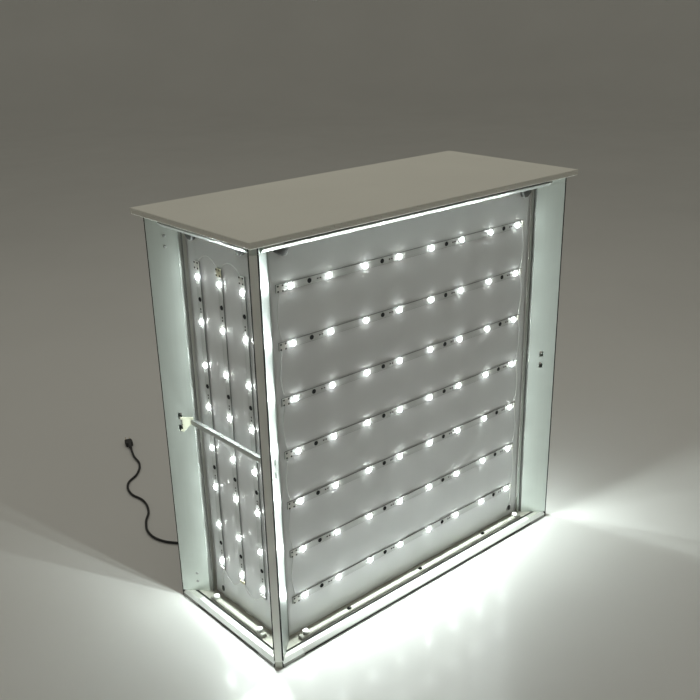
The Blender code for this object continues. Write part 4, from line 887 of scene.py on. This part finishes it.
def sideWires(panel, number):
    s, w = barSettings, wireSettings
    top, foot = barMiddle - s["start"], barMiddle - s["end"]
    first = columnPlaces[number]
    if number == len(columnPlaces) - 1:
        return [wireToOval(panel, first, foot + w["root"])]
    quarter = s["width"] / 4
    low, high = first + quarter, columnPlaces[number + 1] - quarter
    over, under = [], []
    for step in range(7):
        t = step / 6
        a, bow = low + (high - low) * t, math.sin(math.pi * t)
        end = -w["root"] + (w["end"] + w["root"]) * t
        over.append(panelPoint(panel, a, w["depth"], top + end + w["rise"] * bow))
        under.append(panelPoint(panel, a, w["depth"], foot - end - w["sag"] * bow))
    return [over, under]


# each lens throws its light sideways, along the sheet: little goes straight ahead
lampSettings = {"power": 0.12, "size": 0.009, "ahead": 0.0062, "colour": (0.90, 1.0, 0.97),
                "aheadShare": 0.03, "narrow": 0.64, "wide": 0.22, "least": 0.06}


def ledLight():
    s = lampSettings
    data = bpy.data.lights.new("ledLamp", "AREA")
    data.shape, data.size, data.energy, data.color = "DISK", s["size"], s["power"], s["colour"]
    data.use_nodes = True
    tree = data.node_tree
    around = tree.nodes.new("ShaderNodeNewGeometry").outputs
    wanted = {0: around["Normal"], 1: around["Incoming"]}
    ahead = addNode(tree, "ShaderNodeVectorMath", wanted, operation="DOT_PRODUCT").outputs["Value"]
    thrown = remap(ahead, s["narrow"], s["wide"], s["aheadShare"], 1.0)
    feed(tree.nodes["Emission"], "Strength", calc("DIVIDE", thrown, calc("MAXIMUM", ahead, s["least"])))
    return data


lampData = ledLight()


def addLamps(place):
    s = barSettings
    out = place.to_3x3() @ Vector((0, 0, 1))
    for led in range(s["leds"]):
        lamp = addObject("ledLamp", lampData)
        lamp.location = place @ Vector((led * ledPitch - s["ledReach"], 0, lampSettings["ahead"]))
        lamp.rotation_mode = "QUATERNION"
        lamp.rotation_quaternion = out.to_track_quat("-Z", "Y")
    return s["leds"]


def addBars():
    master = barMesh()
    lamps = 0
    for panel in panels:
        for number in range(len(rowHeights if panel == "front" else columnPlaces)):
            bm = bmesh.new()
            place = barMatrix(panel, number)
            stamp(bm, master, place)
            for route in frontWires(number) if panel == "front" else sideWires(panel, number):
                addWire(bm, route, barSettings["wire"], 7)
            cream = panel != "front" and number == 1  # the middle side bar's connectors are cream
            plastic = "creamPlastic" if cream else "whitePlastic"
            keys = ["bar", "core", "glow", "holder", "dull", plastic, "dull", "wire"]
            addPiece(f"{panel}LedBar{number + 1}", bm, keys, [f"{panel}_led_bar_{number + 1}"])
            lamps += addLamps(place)
    print("LED lamps:", lamps)


for panel in panels:
    addSheet(panel)
addBars()
print("curtains hung")

# curtain rods under the top rails, with the claws that hold them
rodSettings = {"radius": 0.004, "knob": 0.0065, "knobLength": 0.012, "depth": 0.0517, "z": 0.9615}
clawSettings = {"near": 0.0462, "far": 0.0572, "top": 0.9684, "shoulder": 0.94994, "foot": 0.9400,
                "ease": 0.0008, "inner": -0.030, "outer": 0.010, "tip": (-0.016, -0.004)}


def addRod(panel):
    s, c = rodSettings, clawSettings
    half, knob = panels[panel]["rod"], s["knob"]
    neck = half - s["knobLength"]
    upper = [(0, half), (knob * 0.55, half), (knob * 0.85, half - 0.0012), (knob, half - 0.0034),
             (knob, neck + 0.0012), (knob * 0.88, neck), (s["radius"], neck)]
    lower = [(r, -h) for r, h in reversed(upper)]
    origin = panelPoint(panel, 0, s["depth"], s["z"])
    along = panelPoint(panel, 1, s["depth"], s["z"]) - origin
    up = Vector((0, 0, 1))
    bm = bmesh.new()
    stamp(bm, turned("rod", upper + lower, 20), axesAt(origin, up.cross(along), up, along))
    side = [(c["inner"], c["top"]), (c["outer"], c["top"]), (c["outer"], c["shoulder"]),
            (c["tip"][1], c["foot"]), (c["tip"][0], c["foot"])]
    # the claws take the near-black claw finish: painted shade
    for sign in (-1, 1):
        outline = [(sign * (half + a), z) for a, z in side]
        prism(bm, outline, c["near"], c["far"], onPanel(panel), c["ease"], 2, 1)
    key = "rodX" if panel == "front" else "rodY"
    addPiece(panel + "CurtainRod", bm, [key, "claw"], [panel + "_curtain_rod"])


# bars that hold down the curtains' feet, with a thumb knob at each end
hemSettings = {"near": 0.0285, "far": 0.0425, "low": 0.0178, "high": 0.0273, "edge": 0.0025, "inset": 0.017,
               "ease": 0.0005, "stem": 0.0035, "rise": 0.003, "head": 0.0075, "height": 0.0088,
               "shade": 0.0022}


def addHemBar(panel):
    s = hemSettings
    half, near, far, high, edge = panels[panel]["bar"], s["near"], s["far"], s["high"], s["edge"]
    outline = [(near, s["low"]), (far, s["low"]), (far, high - edge), (far - edge, high), (near + edge, high),
               (near, high - edge)]
    bm = bmesh.new()
    prism(bm, outline, -half, half, lambda d, z, a: panelPoint(panel, a, d, z), s["ease"], 2)
    head, rise, top = s["head"], s["rise"], s["height"]
    profile = [(0, -0.0005), (s["stem"], -0.0005), (s["stem"], rise), (head - 0.0008, rise),
               (head, rise + 0.0008), (head, top - 0.0016), (head - 0.0006, top - 0.0006),
               (head - 0.0018, top), (0.0020, top - 0.0003), (0, top - 0.0003)]
    # below the head the knob is dark: the stem itself, and painted shade on the head's underside
    thumb = turned("thumbKnob", profile, 20, lambda c: 2 if c.z < rise + s["shade"] else 1)
    for sign in (-1, 1):
        place = panelPoint(panel, sign * (half - s["inset"]), (near + far) / 2, high)
        stamp(bm, thumb, Matrix.Translation(place))
    addPiece(panel + "HemBar", bm, ["hem", "whitePlastic", "stem"], [panel + "_hem_bar"])


for panel in panels:
    addRod(panel)
    addHemBar(panel)

# braces, screws and the caps on the front hem bar
for side in ("left", "right"):
    bar, body = side + "_brace_bar", side + "_brace"
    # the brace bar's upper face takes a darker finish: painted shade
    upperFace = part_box(bar)[1].z - 0.001
    easedCopy(bar, ["brace", "braceTopPaintedShade"], lambda c: int(c.z > upperFace), body, width=0.0004)
    for end in ("front", "rear"):
        easedCopy(f"{side}_brace_hook_{end}", ["cream"], body=body)

screwSettings = {"depth": 0.027, "heights": (0.0462, 0.0697, 0.9165, 0.9400), "seat": 0.0003}


def addScrews():
    s = screwSettings
    profile = [(0.0038, 0), (0.0038, 0.0005), (0.0034, 0.0013), (0.0024, 0.0018), (0.0016, 0.0019),
               (0.0014, 0.0010), (0, 0.0010)]
    master = turned("buttonScrew", profile, 12)
    along = wallStart + s["depth"] * math.tan(wallAngle)
    bm = bmesh.new()
    for sx in (-1, 1):
        for sy in (-1, 1):
            out = Vector((sx * math.sin(wallAngle), -sy * math.cos(wallAngle), 0))
            x, y = sx * (halfWidth - s["depth"]), sy * (halfDepth - along)
            for z in s["heights"]:
                stamp(bm, master, facing(Vector((x, y, z)) + out * s["seat"], out))
    addPiece("postScrews", bm, ["screw"])


def addBarCaps():
    profile = [(0, 0), (0.005, 0), (0.005, 0.0007), (0.0044, 0.0015), (0.0030, 0.0019), (0.0011, 0.0020),
               (0, 0.0017)]
    stretch = 1.25  # the caps are a little longer along the bar
    for name in ("left", "middle", "right"):
        low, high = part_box("bar_cap_" + name)
        bm = spun(profile, 16)
        bmesh.ops.scale(bm, vec=(stretch, 1, 1), verts=bm.verts)
        bmesh.ops.translate(bm, verts=bm.verts, vec=((low.x + high.x) / 2, (low.y + high.y) / 2, low.z))
        addPiece(name + "BarCap", bm, ["dull"], ["bar_cap_" + name])


addScrews()
addBarCaps()


# driver, its strain relief and the low-voltage leads
def addDriver():
    s = {"x": 0.160, "y": 0.168, "z": 0.0178, "half": 0.085, "cap": 0.008, "width": 0.044, "height": 0.030,
         "inset": 0.0015, "foot": 0.0008, "ease": 0.0012, "fins": 7, "finHalf": 0.0011, "finMargin": 0.004,
         "finSunk": 0.0030, "finRise": 0.0025, "capEase": 0.0025, "screws": (0.0175, 0.0105), "seat": 0.0003}
    bm = bmesh.new()
    x, y, half, wide = s["x"], s["y"], s["half"], s["width"] / 2 - s["inset"]
    foot, top = s["z"] + s["foot"], s["z"] + s["height"] - s["inset"]
    block(bm, (x - half, y - wide, foot), (x + half, y + wide, top - s["finRise"]), s["ease"], 2)
    for fin in range(s["fins"]):  # cooling ribs along the case
        across = y - wide + s["finMargin"] + fin * (2 * wide - 2 * s["finMargin"]) / (s["fins"] - 1)
        low, high = across - s["finHalf"], across + s["finHalf"]
        block(bm, (x - half, low, top - s["finSunk"]), (x + half, high, top), 0.0005)
    profile = [(0.0024, 0), (0.0022, 0.0004), (0.0010, 0.0005), (0.0009, 0.0001), (0, 0.0001)]
    head = turned("capScrew", profile, 10, lambda c: 2)
    for sign in (-1, 1):
        low, high = sorted((sign * (half - 0.001), sign * (half + s["cap"])))
        block(bm, (x + low, y - s["width"] / 2, s["z"]), (x + high, y + s["width"] / 2, s["z"] + s["height"]),
              s["capEase"], 3, 1)
        face = x + sign * (half + s["cap"])
        for a in (-1, 1):
            for b in (-1, 1):
                aside, z = a * s["screws"][0], s["z"] + s["height"] / 2 + b * s["screws"][1]
                place = (face - sign * s["seat"], y + aside, z)
                stamp(bm, head, facing(place, (sign, 0, 0)))
    addPiece("ledDriver", bm, ["case", "black", "screw"], ["led_driver"])


def addRelief():
    s = {"place": (0.0667, 0.179, 0.0328), "rings": 6, "first": 0.0034, "step": 0.0042, "size": 0.0054,
         "shrink": 0.00024, "groove": 0.0008, "end": 0.0041}
    profile = [(0, 0), (0.0065, 0), (0.0065, 0.003), (s["size"], 0.0032)]
    for ring in range(s["rings"]):
        start = s["first"] + ring * s["step"]
        size = s["size"] - ring * s["shrink"]
        small = size - s["groove"]
        profile += [(size, start + 0.0004), (size, start + 0.0026)]
        profile += [(small, start + 0.0030), (small, start + 0.0038)]
    profile += [(s["end"], 0.0290), (s["end"], 0.030), (0, 0.030)]
    bm = spun(profile, 20)
    bmesh.ops.transform(bm, matrix=facing(s["place"], (-1, 0, 0)), verts=bm.verts)
    addPiece("cordRelief", bm, ["black"], ["cord_strain_relief"])


sideLeadEnd = [
    (0.3908, 0.1379, 0.0201), (0.4046, 0.1158, 0.0221), (0.4088, 0.0990, 0.0343), (0.4206, 0.0920, 0.0445),
    (0.4318, 0.0920, 0.0445),
]
leadSettings = {
    "radius": 0.002,
    "lengths": {"front": 0.4768, "left": 0.5972, "right": 0.2223},
    "front": [
        (0.2533, 0.179, 0.0328), (0.2673, 0.179, 0.0328), (0.2883, 0.1626, 0.0241), (0.3163, 0.1463, 0.0204),
        (0.3908, 0.1463, 0.0201), (0.4188, 0.1323, 0.0201), (0.4228, 0.1043, 0.0201), (0.4228, 0.0, 0.0201),
        (0.4228, -0.0663, 0.0211), (0.4034, -0.1033, 0.0323), (0.3840, -0.1313, 0.0445),
        (0.3840, -0.1453, 0.0445),
    ],
    "left": [
        (0.0667, 0.157, 0.0328), (0.0527, 0.157, 0.0328), (0.0317, 0.1474, 0.0241), (0.0037, 0.1379, 0.0204),
    ] + [(-x, y, z) for x, y, z in sideLeadEnd],
    "right": [
        (0.2533, 0.157, 0.0328), (0.2673, 0.157, 0.0328), (0.2883, 0.1474, 0.0241), (0.3163, 0.1379, 0.0204),
    ] + sideLeadEnd,
}
bushSettings = {"width": 0.0055, "height": 0.0115, "rim": 0.002, "z": 0.0445, "fit": 0.0004, "seat": 0.0582,
                "back": 0.0617, "ease": 0.0006}


def ovalOutline(width, height, a, z, steps=10):
    radius = width / 2
    reach = height / 2 - radius
    turns = [math.pi * step / steps for step in range(steps + 1)]
    upper = [(a + radius * math.cos(t), z + reach + radius * math.sin(t)) for t in turns]
    return upper + [(a - radius * math.cos(t), z - reach - radius * math.sin(t)) for t in turns]


def addLead(panel):
    s = bushSettings
    a = panels[panel]["oval"]
    bm = bmesh.new()
    rim = ovalOutline(s["width"] + 2 * s["rim"], s["height"] + 2 * s["rim"], a, s["z"])
    prism(bm, rim, s["seat"] - s["rim"], s["seat"], onPanel(panel), s["ease"], 2)
    core = ovalOutline(s["width"] - 2 * s["fit"], s["height"] - 2 * s["fit"], a, s["z"])
    prism(bm, core, s["seat"] - s["rim"] / 2, s["back"], onPanel(panel))
    bush = addPiece(panel + "PassThrough", bm, ["black"])
    route, radius = leadSettings[panel], leadSettings["radius"]
    lead = addCordCurve(panel + "Lead", route, radius, [panel + "_led_lead"])
    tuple(route[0])


addDriver()
addRelief()
for panel in panels:
    addLead(panel)
print("driver and leads in place")


# floor, light and glow
def addFloor():
    s = {"flat": 9.0, "bend": 4.0, "high": 7.0, "steps": 12, "sides": 64, "tint": (0.66, 0.66, 0.64),
         "cloud": (0.9, 3.0, 0.97, 1.02), "rough": (3.0, 3.0, 0.32, 0.42)}
    flat, bend, steps = s["flat"], s["bend"], s["steps"]
    turns = [math.pi / 2 * step / steps for step in range(steps + 1)]
    rise = [(flat + bend * math.sin(t), bend - bend * math.cos(t)) for t in turns]
    bm = spun([(0, 0)] + rise + [(flat + bend, s["high"])], s["sides"])  # it curves up far away
    bmesh.ops.reverse_faces(bm, faces=[f for f in bm.faces if f.normal.z < -0.5])
    mesh = keepMesh("floor", bm)
    mesh.shade_smooth()
    made, shader, place = startMaterial("paleFloor", Coat_Roughness=0.16, Coat_IOR=1.45, Coat_Weight=0.3)
    feed(shader, "Base Color", shaded(s["tint"], mottle(place, *s["cloud"])))
    feed(shader, "Roughness", mottle(place, *s["rough"]))
    mesh.materials.append(made)
    floor = addObject("floor", mesh)


def addStudioLight():
    s = {"sky": (0.36, 0.348, 0.305), "strength": 0.70, "place": (0.5, 0.9, 3.4), "size": 3.2, "power": 20.0,
         "colour": (1.0, 0.965, 0.87)}
    world = bpy.data.worlds.new("studio")
    world.use_nodes = True
    sky = world.node_tree.nodes["Background"].inputs
    sky["Color"].default_value = (*s["sky"], 1.0)
    sky["Strength"].default_value = s["strength"]
    bpy.context.scene.world = world
    data = bpy.data.lights.new("softOverhead", "AREA")
    data.size, data.energy, data.color = s["size"], s["power"], s["colour"]
    addObject("softOverhead", data).location = s["place"]


# a soft bloom round the lit lenses
def addBloom():
    s = {"Threshold": 4.0, "Strength": 0.35, "Size": 0.35, "Maximum": 30.0, "Clamp": True}
    scene = bpy.context.scene
    scene.use_nodes = True
    tree = scene.node_tree
    tree.nodes.clear()
    layers = tree.nodes.new("CompositorNodeRLayers")
    bloom = tree.nodes.new("CompositorNodeGlare")
    bloom.glare_type = "BLOOM"
    for label, value in s.items():
        bloom.inputs[label].default_value = value
    feed(bloom, "Image", layers.outputs["Image"])
    feed(tree.nodes.new("CompositorNodeComposite"), "Image", bloom.outputs["Image"])


addFloor()
addStudioLight()
addBloom()
bpy.context.scene.view_settings.view_transform = "Standard"  # its whites clip as the photograph's do
